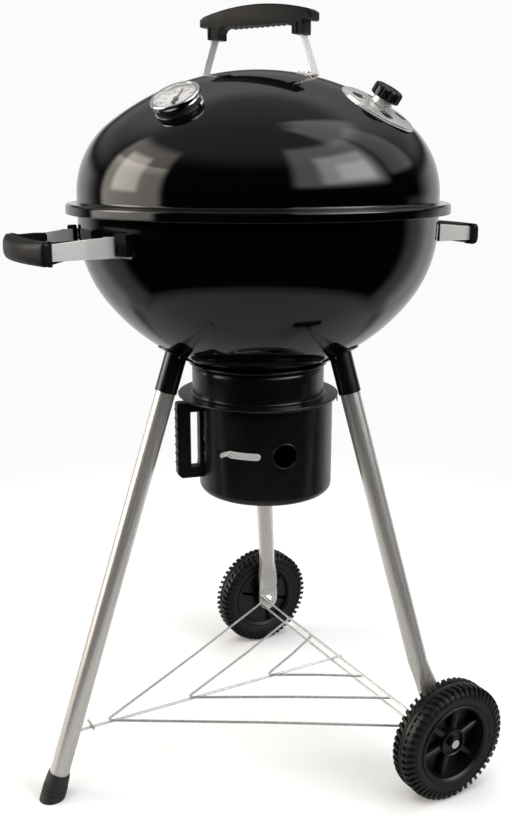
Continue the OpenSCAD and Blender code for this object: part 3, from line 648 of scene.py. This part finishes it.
def rack():
    m = move(KETTLE_X, 0, 0) @ move(AXLE_X, 0, RACK_Z) @ turn(RACK_RISE, "Y") @ move(-AXLE_X, 0, 0)
    lift = 2 * WIRE_R

    def rods(name, lines, node, welds=()):
        shape = Shape()
        for line in lines:
            points, radii = domed(line, WIRE_R)
            shape.tube(points, radii, n=16)
        for x, y, z in welds:
            shape.loft([[(x + 3.4 * p * cos(b), y + 2.6 * q * cos(b), z + 2.0 * sin(b)) for p, q in circle(1.0, 12)]
                        for b in (-1.3, -0.9, -0.4, 0.0, 0.4, 0.9, 1.3)])
        piece(name, shape, ZINC, "frame", [node], m, sharp=50)

    rods("rack_wire_centre", [[(-328, 0, 0), (0, 0, 0), (AXLE_X + 2, 0, 0)]], "rack_centre_wire",
         [(x + 5, 0, WIRE_R) for x in RACK_APEX] + [(-300, 0, WIRE_R)])
    for i, label in enumerate(("outer", "middle", "inner")):
        apex, reach = RACK_APEX[i], RACK_REACH[i]
        lines = [[(apex + 3, s * 2.3, lift), (0.5 * (apex + AXLE_X), s * (reach + 2.3) / 2, lift),
                  (AXLE_X - 12, s * reach, lift)] for s in (-1, 1)]
        rods("rack_wires_" + label, lines, "rack_" + label + "_arms",
             [(AXLE_X - 14, s * reach, lift + WIRE_R) for s in (-1, 1)])
    ends = BLADE_Y - BLADE_T - 0.1
    cross = [[(x, y, z) for y in (-ends, 0, ends)] for x, z in ((AXLE_X - 14, 2 * lift), (AXLE_X - 19, -lift))]
    rods("rack_wires_cross", cross, "rack_side_wires")
    rods("rack_pin", [[(-300, -15, lift), (-300, 0, lift), (-300, 15, lift)]], "rack_cross_pin")


rack()

# ---- side handles ----
STRAP_T, BLOCK_AZ = 2.2, 21.3
STRAP_BEND, STRAP_END, HANDLE_HALF = 301.0, 355.0, 80.0
GRIP_OUT, GRIP_SAG, GRIP_IN = 381.0, 19.0, 350.0
BLOCK_R = (270.6, 283.0)


def strap_foot(a):
    return ((BOWL[0] + 1.3) * cos(radians(a)), (BOWL[0] + 1.3) * sin(radians(a)))


def side_handle(az, name):
    m = on_kettle(az)
    strap = Shape()
    for s in (-1, 1):
        line = [strap_foot(22.6), strap_foot(21), strap_foot(19), (281, HANDLE_HALF + 5.5), (STRAP_BEND, HANDLE_HALF),
                (STRAP_END, HANDLE_HALF), (STRAP_END, -1)]
        line = bent([(x, s * y) for x, y in line], 3.0)
        top = [HANDLE_Z + 14 if x < 280 else HANDLE_Z + 13.2 - (x - 280) * 8 / 90 for x, y in line]
        low = [HANDLE_Z - 14 if x < 280 else HANDLE_Z - 14.2 - (x - 280) * 0.7 / 90 for x, y in line]
        strap.strip(line, STRAP_T, low, top)
    piece(name + "_handle_strap", strap, FLAT_BRUSHED, "frame", [name + "_handle_bracket"], m, bevel=0.35, sharp=40)

    # moulded grip: a bar that bows outward, with fine ribs, a collar at each end and cheeks inside the strap
    grip = Shape()
    rows, count, reach = [], 88, HANDLE_HALF + 8
    for i in range(count + 1):
        y = -reach + 2 * reach * i / count
        edge = max(0.0, (abs(y) - (reach - 6)) / 6)
        shrink = 0.55 + 0.45 * sqrt(max(0.0, 1 - edge ** 2.3))
        ribbed = 0.4 if i % 2 and abs(y) < reach - 20 else 0.0
        x1 = GRIP_OUT - GRIP_SAG * (y / reach) ** 2
        deep = (x1 - GRIP_IN) / 2
        tall = 4 + 12 * shrink - ribbed
        rows.append([(GRIP_IN + deep + x * (0.2 + 0.8 * shrink) - ribbed * 0.5, y, GRIP_Z + z)
                     for x, z in oval(deep, tall, 2.9, 40)])
    grip.loft(rows)
    for s in (-1, 1):
        collar = rect(348.9, s * (HANDLE_HALF - 11), 354, s * (HANDLE_HALF + 7.4))
        grip.prism(rounded(collar, 1.5), GRIP_Z - 16, GRIP_Z + 16.2)
        y0 = HANDLE_HALF - STRAP_T / 2 - 0.05
        grip.loft([[(x, s * y0, lo), (x, s * (y0 - w), lo + 0.4), (x, s * (y0 - w), hi - 0.4), (x, s * y0, hi)]
                   for x, w, lo, hi in ((303, 1.2, 843, 856), (306, 2.6, 840, 859.5), (322, 3.6, 836, 860),
                                        (340, 4.8, 832, 859), (351, 6.0, 829, 859))])
    piece(name + "_handle_moulding", grip, NYLON, "frame", [name + "_handle_grip"], m, bevel=0.7, sharp=50)


def mount_blocks():
    shape = Shape()
    r0, r1 = BLOCK_R
    for az in (0, 180):
        for s in (-1, 1):
            m = on_kettle(az) @ move(0, 0, HANDLE_Z) @ turn(s * BLOCK_AZ, "Z")
            shape.prism(rounded([(r0 + 0.1, -13), (r1, -11.5), (r1, 11.5), (r0 + 0.1, 13)], 2), -10.5, 18.3, m)
            shape.prism(rounded(rect(r0 - 1.5, s * -15, r0 + 5, s * -12), 1), -11.5, 19.6, m)
            # raised rim round the screw
            shape.lathe(rect(5.0, 0, 6.6, 1.4), m @ move(r1 - 0.2, 0, 0) @ turn(90, "Y"), n=28)
    piece("handle_blocks", shape, MATT_NYLON, "frame", ["handle_mount_blocks"], I4, bevel=0.8, sharp=45)


side_handle(180, "left")
side_handle(0, "right")
mount_blocks()


# ---- ash collar, neck, can, lever and can handle ----
def ash_parts():
    m = on_kettle()
    brim = [(90.5, 655.2), (96, 654.6), (104.5, 654.6)] + arc(105.8, 656.9, 2.3, -90, 95, 8)
    brim += [(100, 660.2), (94, 663.0), (92.3, 664.0), (90.5, 664.0)]
    piece("ash_brim", Shape().lathe(brim, n=160), SATIN, "frame", ["ash_collar"], m, sharp=50)
    t = SHEET
    neck = [(88, NECK_TOP - t - 0.1), (NECK_R - 9, NECK_TOP - t - 0.1)]
    neck += arc(NECK_R - 9, NECK_TOP - 9, 9 - t, 88, 0, 8)
    neck += [(NECK_R - t, NECK_Z + 6)] + arc(NECK_R + 2.4, NECK_Z + 5.6, 3.6, 180, 262, 6)[1:]
    neck += [(86, NECK_Z + 1.2), (86, NECK_Z), (NECK_FLANGE_R - 1.6, NECK_Z)]
    neck += arc(NECK_FLANGE_R - 1.5, NECK_Z + 1.3, 1.5, -85, 95, 8) + [(NECK_R + 5.4, NECK_Z + 2.6)]
    neck += arc(NECK_R + 3.2, NECK_Z + 5.8, 3.2, 262, 180, 6) + [(NECK_R, NECK_TOP - 12)]
    neck += arc(NECK_R - 9, NECK_TOP - 9, 9, 0, 90, 10) + [(88, NECK_TOP - 0.05)]
    piece("ash_throat", Shape().lathe(neck, n=160), SATIN, "frame", ["ash_neck"], m, sharp=55)

    can = on_can()
    corner, r = 12.0, CAN_R
    outside = [(0, CAN_Z), (r - corner - 14, CAN_Z), (r - corner - 10, CAN_Z + 0.1)]
    outside += arc(r - corner, CAN_Z + corner, corner, -90, 0, 12)
    outside += [(r, CAN_TOP - 4)] + arc(r + 3, CAN_TOP - 3.6, 3, 180, 95, 5) + [(111.2, CAN_TOP - 0.4)]
    outside += arc(111.0, CAN_TOP + 0.8, 1.2, -80, 90, 6)
    inside = [(r - SHEET, CAN_TOP + 2.0), (r - SHEET, CAN_Z + corner)]
    inside += arc(r - corner, CAN_Z + corner, corner - SHEET, 0, -90, 10) + [(0, CAN_Z + SHEET)]
    shape = Shape().lathe(outside + inside, n=200, closed=False)
    holes = Shape()
    for az in AIR_AZ:
        holes.prism(circle(AIR_HOLE_R, 64), 80, 130, turn(az, "Z") @ move(0, 0, AIR_Z) @ turn(90, "Y"))
    # slot that the lever's neck slides in
    middle, half_slot = LEVER_AZ[1] - 24, 15.0
    rows = []
    for k in range(9):
        a = radians(middle - half_slot + 2 * half_slot * k / 8)
        rows.append(round_z(rect(95, AIR_Z - 3, 115, AIR_Z + 3), a))
    holes.loft(rows)
    piece("ash_can_body", shape, SATIN, "can", ["ash_can"], can, minus=holes, sharp=50)
    # drawn lips round the air holes
    lips = Shape()
    for az in AIR_AZ:
        rows = []
        for k in range(64):
            t = 2 * pi * k / 64
            row = []
            for q, h in ((AIR_HOLE_R - 0.3, -0.9), (AIR_HOLE_R - 0.5, 0.3), (AIR_HOLE_R + 0.5, 0.75),
                         (AIR_HOLE_R + 1.6, 0.3), (AIR_HOLE_R + 1.8, -0.4)):
                y, z = q * cos(t), q * sin(t)
                x = sqrt((CAN_R + h) ** 2 - y * y)
                row.append((x, y, AIR_Z + z))
            rows.append(row)
        lips.loft(rows, turn(az, "Z"), wrap=True)
    piece("ash_can_hole_lips", lips, SATIN, "can", (), can, sharp=60)


def lever():
    """Stamped strip with a raised edge and a round end, and the curled tab that a finger pulls."""
    shape = Shape()
    r0 = CAN_R + 0.3
    a0, a1, half = LEVER_AZ[0] + 4, LEVER_AZ[1], 5.4
    rows, n = [], 40
    for k in range(n + 1):
        a = a0 + (a1 - a0) * k / n
        along = (a1 - a) * pi / 180 * r0
        h = half if along > half else max(1.2, sqrt(max(0.0, half * half - (half - along) ** 2)))
        near = (a - a0) * pi / 180 * r0
        if near < half:
            h = min(h, max(2.6, half * (0.62 + 0.38 * near / half)))
        bead = min(1.5, h * 0.35)
        edge = [(0, h), (0.9, h), (1.15, h - bead * 0.5), (1.0, h - bead), (0.85, h - bead * 1.4)]
        section = [(q, -z) for q, z in edge] + edge[::-1]
        rows.append(round_z([(r0 + q, AIR_Z + z) for q, z in section], radians(a)))
    shape.loft(rows)
    m = turn(LEVER_AZ[0] + 2.6, "Z") @ move(r0 + 0.8, 0, AIR_Z)
    curl = [(2.6, 3.6, 0.6), (2.8, 1.5, 0.2), (4.0, -0.8, -0.4), (5.6, -2.0, -1.0), (6.8, -0.8, -1.6),
            (7.0, 1.4, -2.0)]
    shape.tube(curl, 4.2, m, outline=oval(0.22, 1.0, 4, 20))
    shape.lathe([(0, 0), (3.0, 0), (3.2, 0.6), (2.6, 1.7), (1.4, 2.2), (0, 2.3)],
                m @ move(0.2, 0.0, 0) @ turn(90, "Y"), n=24)
    neck = turn(LEVER_AZ[1] - 12, "Z")
    shape.box((CAN_R - SHEET - 0.28, -4, AIR_Z - 2.5), (r0 + 0.4, 4, AIR_Z + 2.5), neck)
    piece("air_lever_strip", shape, STAMPED, "air_control", ["air_ring_lever"], on_can(), sharp=40)


def can_handle():
    m = on_can(CAN_HANDLE_AZ) @ move(CAN_R, 0, 0)
    outer = rounded([(-0.2, 477), (33, 477), (39, 483), (39, 598), (-0.2, 598)], [0.5, 2, 2, 5, 0.5], 4)
    hole = rounded([(4.0, 503), (5, 494), (18, 494), (18, 583), (4.0, 583)], 1.0, 3)
    shape = Shape().prism(outer, -9, 9)
    for k in range(7):
        z = 500 + 14.2 * k
        shape.prism(rounded([(37.5, z - 1.6), (40.2, z - 1.1), (40.2, z + 1.1), (37.5, z + 1.6)], 0.8, 2), -8.6, 8.6)
    for lo, hi in ((484, 498), (586, 594)):
        for z0, z1 in ((-9.6, -8.5), (8.5, 9.6)):
            shape.prism(rounded(rect(6, lo, 22, hi), 1.5), z0, z1)
    upright = turn(90, "X")
    holes = Shape().prism(hole, -20, 20, upright)
    # stand it up and fit its back to the can
    body = Shape()
    body.bm.from_mesh(shape.mesh("handle_parts"))
    bmesh.ops.transform(body.bm, matrix=upright, verts=body.bm.verts)
    for v in body.bm.verts:
        if v.co.x < 0.3:
            v.co.x = sqrt(max(0.0, (CAN_R + 0.05) ** 2 - v.co.y ** 2)) - CAN_R
    piece("ash_can_grip", body, NYLON, "can", ["ash_can_handle"], m, minus=holes, bevel=0.9, sharp=45)


ash_parts()
lever()
can_handle()


# ---- lid fittings ----
def lid_grip():
    m = on_kettle(LID_HANDLE_AZ)
    half, rise, top = LID_GRIP_HALF, 13.0, 1174.0
    arc_r = (half ** 2 + rise ** 2) / (2 * rise)
    reach = degrees(atan2(half - 3, arc_r))
    crest = arc(0, top - arc_r, arc_r, 90 - reach, 90 + reach, 30)
    under = []
    scallops, inner = 11, POST_X - 21
    for k in range(scallops):
        x0 = -inner + 2 * inner * k / scallops
        for j in range(5):
            under.append((x0 + 2 * inner / scallops * j / 5, 1147.6 - 2.6 * sin(pi * j / 5)))
    p0, p1 = POST_X - 8, POST_X + 8
    left = [(-half, 1159), (-half - 0.2, 1152), (-half + 2.5, 1147.5), (-p1 - 2, 1148.4), (-p1, 1148.8),
            (-p1, 1131), (-p1 + 1.5, 1130), (-p0 - 1.5, 1130), (-p0, 1131), (-p0, 1140), (-p0 + 3, 1144.4),
            (-p0 + 9, 1147)]
    outline = crest + left + under + [(inner, 1147.6)] + [(-x, z) for x, z in left[::-1]]
    upright = turn(90, "X")
    rows = []
    edge = [(14, 3.2), (13.2, 1.2), (11.6, 0.2), (9, 0.0)]
    for y, inset in [(-y, inset) for y, inset in edge] + edge[::-1]:
        rows.append([(x * (1 - inset / 220), y, z - (inset * 0.9 if z > 1150 else 0)) for x, z in outline])
    shape = Shape().loft(rows)
    grooves = Shape()
    for s in (-1, 1):
        # channel up each post, and the pocket that the strap goes into
        x0, x1 = sorted((s * (POST_X - 2), s * (POST_X + 4)))
        for y0, y1 in ((-15, -12.6), (12.6, 15)):
            grooves.box((x0, y0, 1129), (x1, y1, 1146))
        x0, x1 = sorted((s * (STRAP_TOP_X - 1.4), s * (STRAP_TOP_X + 2.6)))
        grooves.box((x0, -9.2, 1129), (x1, 9.2, 1134))
    piece("lid_grip_moulding", shape, NYLON, "lid", ["lid_handle_grip"], m, minus=grooves, sharp=40)

    straps = Shape()
    for s in (-1, 1):
        # lies on the lid, then leans up into the grip
        over = LID[3] + 1.3
        foot = [(x, LID_CROWN_Z + sqrt(over ** 2 - x * x)) for x in (STRAP_FOOT_X - d for d in (25, 17, 10, 5, 0))]
        foot[-1] = (STRAP_FOOT_X, foot[-1][1] + 0.6)
        line = bent([(s * x, z) for x, z in foot + [(STRAP_TOP_X, 1133), (STRAP_TOP_X, 1150)]], 5.0)
        straps.strip(line, 2.3, -9, 9, upright)
    piece("lid_handle_straps_bent", straps, FLAT_BRUSHED, "lid", ["lid_handle_straps"], m, bevel=0.3, sharp=40)


def crown_profile(r0, r1, g0, g1, beads=()):
    """Outline of a thin ring that follows the lid's crown between two radii; beads are (radius, width, height)."""
    def height(r, g):
        return sqrt((LID[3] + g) ** 2 - r * r) - LID[3]
    top, n = [], 48
    for i in range(n + 1):
        r = r1 + (r0 - r1) * i / n
        up = sum(h * max(0.0, 1 - ((r - c) / w) ** 2) for c, w, h in beads)
        top.append((r, height(r, g1) + up))
    return [(r0, height(r0, g0)), ((r0 + r1) / 2, height((r0 + r1) / 2, g0)), (r1, height(r1, g0))] + top


def vent():
    m = on_lid(VENT_AZ, VENT_TILT)
    plate = crown_profile(4.1, 57, 0.02, 1.1, [(55.4, 1.5, 0.25)])
    piece("vent_plate", Shape().lathe(plate, n=144), DISC, "lid", ["vent_base_plate"], m, minus=vent_holes(),
          sharp=40)
    disc = crown_profile(4.1, 54, 1.5, 2.7, [(52.6, 1.4, 0.3), (21, 1.6, 0.2)])
    piece("vent_disc", Shape().lathe(disc, n=144), DISC, "vent", ["vent_damper"], m, minus=vent_holes(),
          sharp=40)
    stem = [(0, -6), (9, -6), (9, -2.4), (4, -2.4), (4, 2.7), (15.6, 2.8), (15.8, 3.6), (14.5, 4.4), (14.5, 7.4),
            (14.0, 7.8), (14.0, 8.6), (14.5, 9.0), (14.5, 12.6), (14.1, 13), (0, 13)]
    shape = Shape().lathe(stem, n=72, closed=False)
    piece("vent_stem_turned", shape, STAMPED, "vent", ["vent_stem"], m, sharp=35)
    # knob: flutes, a rounded top edge and a shallow dish, as levels of (radius, height, share of the flutes' depth)
    rows, n, flutes, flute_depth = [], 144, 12, 2.4
    levels = [(17.5, 0, 0), (20.2, 0, 0), (21.0, 0.8, 0.1), (21.0, 2.2, 1.0), (21.0, 7.4, 1.0), (21.0, 11.2, 1.0),
              (20.6, 13.3, 0.8), (19.2, 14.6, 0.3), (17.2, 15.0, 0), (15.0, 14.7, 0), (14.4, 13.9, 0), (6, 13.7, 0)]
    for r, z, deep in levels:
        row = []
        for k in range(n):
            t = 2 * pi * k / n
            wave = max(0.0, cos(flutes * t)) ** 0.7
            q = r - flute_depth * deep * wave
            row.append((q * cos(t), q * sin(t), z))
        rows.append(row)
    piece("vent_knob_fluted", Shape().loft(rows), GLOSS_NYLON, "vent", ["vent_knob"], m @ move(0, 0, 13.02), sharp=40)


def thermometer():
    m = on_lid(DIAL_AZ, DIAL_TILT)
    low = on_lid(DIAL_AZ, DIAL_TILT, -4.0)
    case = [(0, 8.02), (28.4, 8.02), (29, 8.6), (29, 11.0), (32.6, 11.2), (33.6, 12.0), (33.2, 13.0), (34.5, 14.0)]
    case += [(34.5, 16.0)] + arc(31.9, 17.4, 2.62, 0, 110, 10)
    case += [(30.0, 19.0), (29.5, 18.95), (31, 17.6), (31, 12.52), (0, 12.52)]
    shape = Shape().lathe(case, n=120, closed=False)
    piece("thermometer_bezel", shape, CHROME, "lid", ["thermometer_case"], low, sharp=35)
    base = [(31.1, -3.6), (33.4, -4.2), (34.0, -3.2), (33.2, -1.6), (31.1, -1.2)]
    shape = Shape().lathe(base, n=96)
    clamp = turn(100, "Z") @ move(33, 0, -1.2)
    shape.lathe([(0.6, -5), (2.2, -5), (2.6, -4.4), (2.6, 4.4), (2.2, 5), (0.6, 5)], clamp @ turn(90, "X"), n=20)
    for y0, y1 in ((-3.4, -2.2), (2.2, 3.4)):
        shape.box((-3, y0, -2.2), (2.0, y1, 2.4), clamp)
    piece("thermometer_base_ring", shape, CHROME, "lid", (), m, sharp=35, bevel=0.2)
    m = low
    face, ink_top = 13.34, 13.34 + 0.06
    dial = Shape().lathe([(1.3, 12.54), (30.9, 12.54), (30.9, 13.1), (30.4, face), (1.3, face)], n=96)
    piece("thermometer_face", dial, DIAL, "lid", ["thermometer_dial"], m)
    first, sweep, ticks, numbers, number_r = 225, 270, 50, 10, 20.4
    ink = Shape()
    for k in range(ticks + 1):
        start, half = (26.2, 0.10) if k % 5 else (24.8, 0.26)
        ink.box((start, -half, face), (28.0, half, ink_top), turn(first - sweep * k / ticks, "Z"))
    for r in (28.2, 14.6):
        ink.lathe(rect(r, face, r + 0.2, ink_top), n=96)
    for k in range(numbers + 1):
        ang = radians(first - sweep / numbers * k)
        curve = bpy.data.curves.new("number", "FONT")
        curve.body, curve.size, curve.extrude = str(50 * k), 4.2, 0.03
        curve.align_x = curve.align_y = "CENTER"
        text = add_object("number", curve)
        me = evaluated_mesh(text)
        bpy.data.objects.remove(text)
        me.transform(move(number_r * cos(ang), number_r * sin(ang), face + 0.03) @ turn(-90, "Z"))
        ink.bm.from_mesh(me)
    piece("thermometer_scale", ink, INK, "lid", (), m @ turn(180, "Z"), sharp=30)
    red = Shape()
    rows = []
    for k in range(13):
        a = radians(first - sweep / numbers * (6.4 + 2.6 * k / 12))
        rows.append(round_z(rect(16.2, face, 17.4, face + 0.05), a))
    piece("thermometer_red_band", red.loft(rows), RED, "lid", (), m @ turn(180, "Z"))
    needle = Shape()
    needle.prism([(-22.5, -0.25), (-22.5, 0.25), (-6, 0.9), (0, 1.4), (5, 1.5), (8.5, 3.0), (10, 0), (8.5, -3.0),
                  (5, -1.5), (0, -1.4), (-6, -0.9)], 14.0, 14.5)
    hub = [(0, 12.7), (1.2, 12.7), (1.2, 13.9), (3.4, 14.0), (3.4, 14.8), (2.6, 15.3), (0, 15.5)]
    needle.lathe(hub, n=32, closed=False)
    piece("thermometer_pointer", needle, INK, "needle", ["thermometer_needle"], m, sharp=35)
    glass = [(0, 17.8), (30.8, 17.8), (30.8, 18.9), (30.2, 19.0), (0, 19.0)]
    shape = Shape().lathe(glass, n=72, closed=False)
    piece("thermometer_window", shape, GLASS, "lid", ["thermometer_glass"], m, sharp=35)


lid_grip()
vent()
thermometer()


# ---- camera, floor and light ----
def area(name, power, size, place, aim):
    data = bpy.data.lights.new(name, "AREA")
    data.energy, data.shape, data.size, data.size_y = power, "RECTANGLE", size[0], size[1]
    ob = add_object(name, data)
    ob.visible_glossy = False
    ob.location = place
    ob.rotation_euler = (Vector(aim) - Vector(place)).to_track_quat("-Z", "Y").to_euler()


HEADING = 60.43                          # the way the camera looks, as an azimuth
CAMERA_AT = (-0.7154, -1.2634, 0.9605)
CAMERA_DOWN = 14.68
camera = add_object("camera", bpy.data.cameras.new("camera"))
camera.data.sensor_width, camera.data.lens = 36.0, 41.82
camera.location = CAMERA_AT
camera.rotation_euler = (radians(90 - CAMERA_DOWN), 0, radians(HEADING - 90))
camera.data.clip_start = 0.05
bpy.context.scene.camera = camera
bpy.context.scene.view_settings.view_transform = "Standard"


def studio(right, forward, up):
    """A point given to the right of, beyond and above the grill, as the camera sees it."""
    h = radians(HEADING)
    return (right * sin(h) + forward * cos(h), -right * cos(h) + forward * sin(h), up)


def paper_floor():
    bm = bmesh.new()
    bmesh.ops.create_circle(bm, cap_ends=True, segments=96, radius=4.0)
    me = bpy.data.meshes.new("floor")
    bm.to_mesh(me)
    bm.free()
    ob = add_object("floor", me)
    m = bpy.data.materials.new("floor_paper")
    m.use_nodes = True
    tree = m.node_tree
    nodes, links = tree.nodes, tree.links
    paper = nodes["Principled BSDF"]
    put(paper, {"Base Color": (0.88, 0.88, 0.88, 1), "Roughness": 0.9, "Specular IOR Level": 0.0})
    length = nodes.new("ShaderNodeVectorMath")
    length.operation = "LENGTH"
    links.new(nodes.new("ShaderNodeTexCoord").outputs["Object"], length.inputs[0])
    # fades out with distance; reflections see a smaller and duller floor than the camera does
    fade = spread(tree, length.outputs["Value"], 0.75, 1.7, smooth=True)
    near = spread(tree, length.outputs["Value"], 0.80, 1.05, (0.60, 1))
    how = nodes.new("ShaderNodeMix")
    links.new(nodes.new("ShaderNodeLightPath").outputs["Is Glossy Ray"], how.inputs["Factor"])
    links.new(fade, how.inputs["A"])
    links.new(near, how.inputs["B"])
    mix = nodes.new("ShaderNodeMixShader")
    links.new(how.outputs["Result"], mix.inputs[0])
    links.new(paper.outputs[0], mix.inputs[1])
    links.new(nodes.new("ShaderNodeBsdfTransparent").outputs[0], mix.inputs[2])
    links.new(mix.outputs[0], nodes["Material Output"].inputs["Surface"])
    me.materials.append(m)
    ob.location = (0, 0, -0.0005)


# Panels of light round the grill, in degrees: two azimuths from the camera's side (+ to the right) and their soft
# edge, two elevations and their soft edge, strength, colour. The back panels are the same on either side.
WHITE, WARM = (1.0, 1.0, 1.0), (1.0, 0.92, 0.82)
PANELS = [
    (-114, -58, 7, -4.5, 30, 2, 2.6, WARM),
    (-114, -58, 7, 20, 50, 9, 1.8, WARM),
    (-104, -76, 6, 3, 38, 5, 4.8, WARM),
    (18, 92, 9, 10, 60, 7, 1.5, WHITE),
    (36, 86, 9, 13, 47, 6, 3.0, WHITE),
    (50, 82, 7, 16, 38, 6, 2.6, WHITE),
    (60, 142, 16, 48, 84, 10, 1.3, WHITE),
    (88, 122, 8, 16, 60, 5, 0.8, WHITE),
    (-138, -90, 14, -46, -6, 7, 0.40, WHITE),
    (98, 140, 12, -46, 2, 8, 0.34, WHITE),
]
BACK = [(112, 26, -40, 16, 8, 0.75), (100, 30, 12, 60, 12, 0.30)]
TOP_FROM, TOP_SOFT, TOP = 30, 24, 0.30


def world():
    w = bpy.data.worlds.new("studio")
    bpy.context.scene.world = w
    w.use_nodes = True
    nodes, links = w.node_tree.nodes, w.node_tree.links
    nodes.clear()

    def math(op, *values):
        node = nodes.new("ShaderNodeMath")
        node.operation = op
        for socket, value in zip(node.inputs, values):
            if isinstance(value, (int, float)):
                socket.default_value = value
            else:
                links.new(value, socket)
        return node.outputs[0]

    def along(direction):
        node = nodes.new("ShaderNodeVectorMath")
        node.operation = "DOT_PRODUCT"
        node.inputs[1].default_value = direction
        links.new(ray, node.inputs[0])
        return node.outputs["Value"]

    def step(value, start, end):
        """0 before start, 1 after end, smooth between; end may lie before start."""
        if end > start:
            return spread(w.node_tree, value, start, end, smooth=True)
        return spread(w.node_tree, value, end, start, (1, 0), smooth=True)

    def between(value, lo, hi, soft):
        return math("MULTIPLY", step(value, lo, lo + soft), step(value, hi, hi - soft))

    ray = nodes.new("ShaderNodeTexCoord").outputs["Generated"]
    right, near = along(studio(1, 0, 0)), along(studio(0, -1, 0))
    up = nodes.new("ShaderNodeSeparateXYZ")
    links.new(ray, up.inputs[0])
    azimuth = math("MULTIPLY", math("ARCTAN2", right, near), 180 / pi)
    elevation = math("MULTIPLY", math("ARCSINE", up.outputs["Z"]), 180 / pi)
    around = math("ABSOLUTE", azimuth)
    parts = [(math("MULTIPLY", between(azimuth, a0, a1, sa), between(elevation, e0, e1, se)), strength, colour)
             for a0, a1, sa, e0, e1, se, strength, colour in PANELS]
    parts += [(math("MULTIPLY", step(around, a0, a0 + sa), between(elevation, e0, e1, se)), strength, WHITE)
              for a0, sa, e0, e1, se, strength in BACK]
    parts.append((step(elevation, TOP_FROM, TOP_FROM + TOP_SOFT), TOP, WHITE))
    total = None
    for value, strength, colour in parts:
        tint = nodes.new("ShaderNodeVectorMath")
        tint.operation = "SCALE"
        tint.inputs[0].default_value = [c * strength for c in colour]
        links.new(value, tint.inputs["Scale"])
        if total is None:
            total = tint.outputs[0]
        else:
            add = nodes.new("ShaderNodeVectorMath")
            links.new(total, add.inputs[0])
            links.new(tint.outputs[0], add.inputs[1])
            total = add.outputs[0]
    path = nodes.new("ShaderNodeLightPath")
    seen = nodes.new("ShaderNodeMix")
    seen.data_type = "RGBA"
    links.new(path.outputs["Is Camera Ray"], seen.inputs["Factor"])
    links.new(total, seen.inputs["A"])
    seen.inputs["B"].default_value = (0.965, 0.965, 0.965, 1)
    back = nodes.new("ShaderNodeBackground")
    links.new(seen.outputs["Result"], back.inputs["Color"])
    links.new(back.outputs[0], nodes.new("ShaderNodeOutputWorld").inputs[0])


paper_floor()
world()
# two soft lamps for the shadows: watts, size, place, aim
area("key", 30, (1.8, 1.4), studio(-0.8, -1.3, 2.6), (0, 0, 0.5))
area("top", 40, (2.6, 2.6), studio(0.3, 0.6, 3.0), (0, 0, 0))
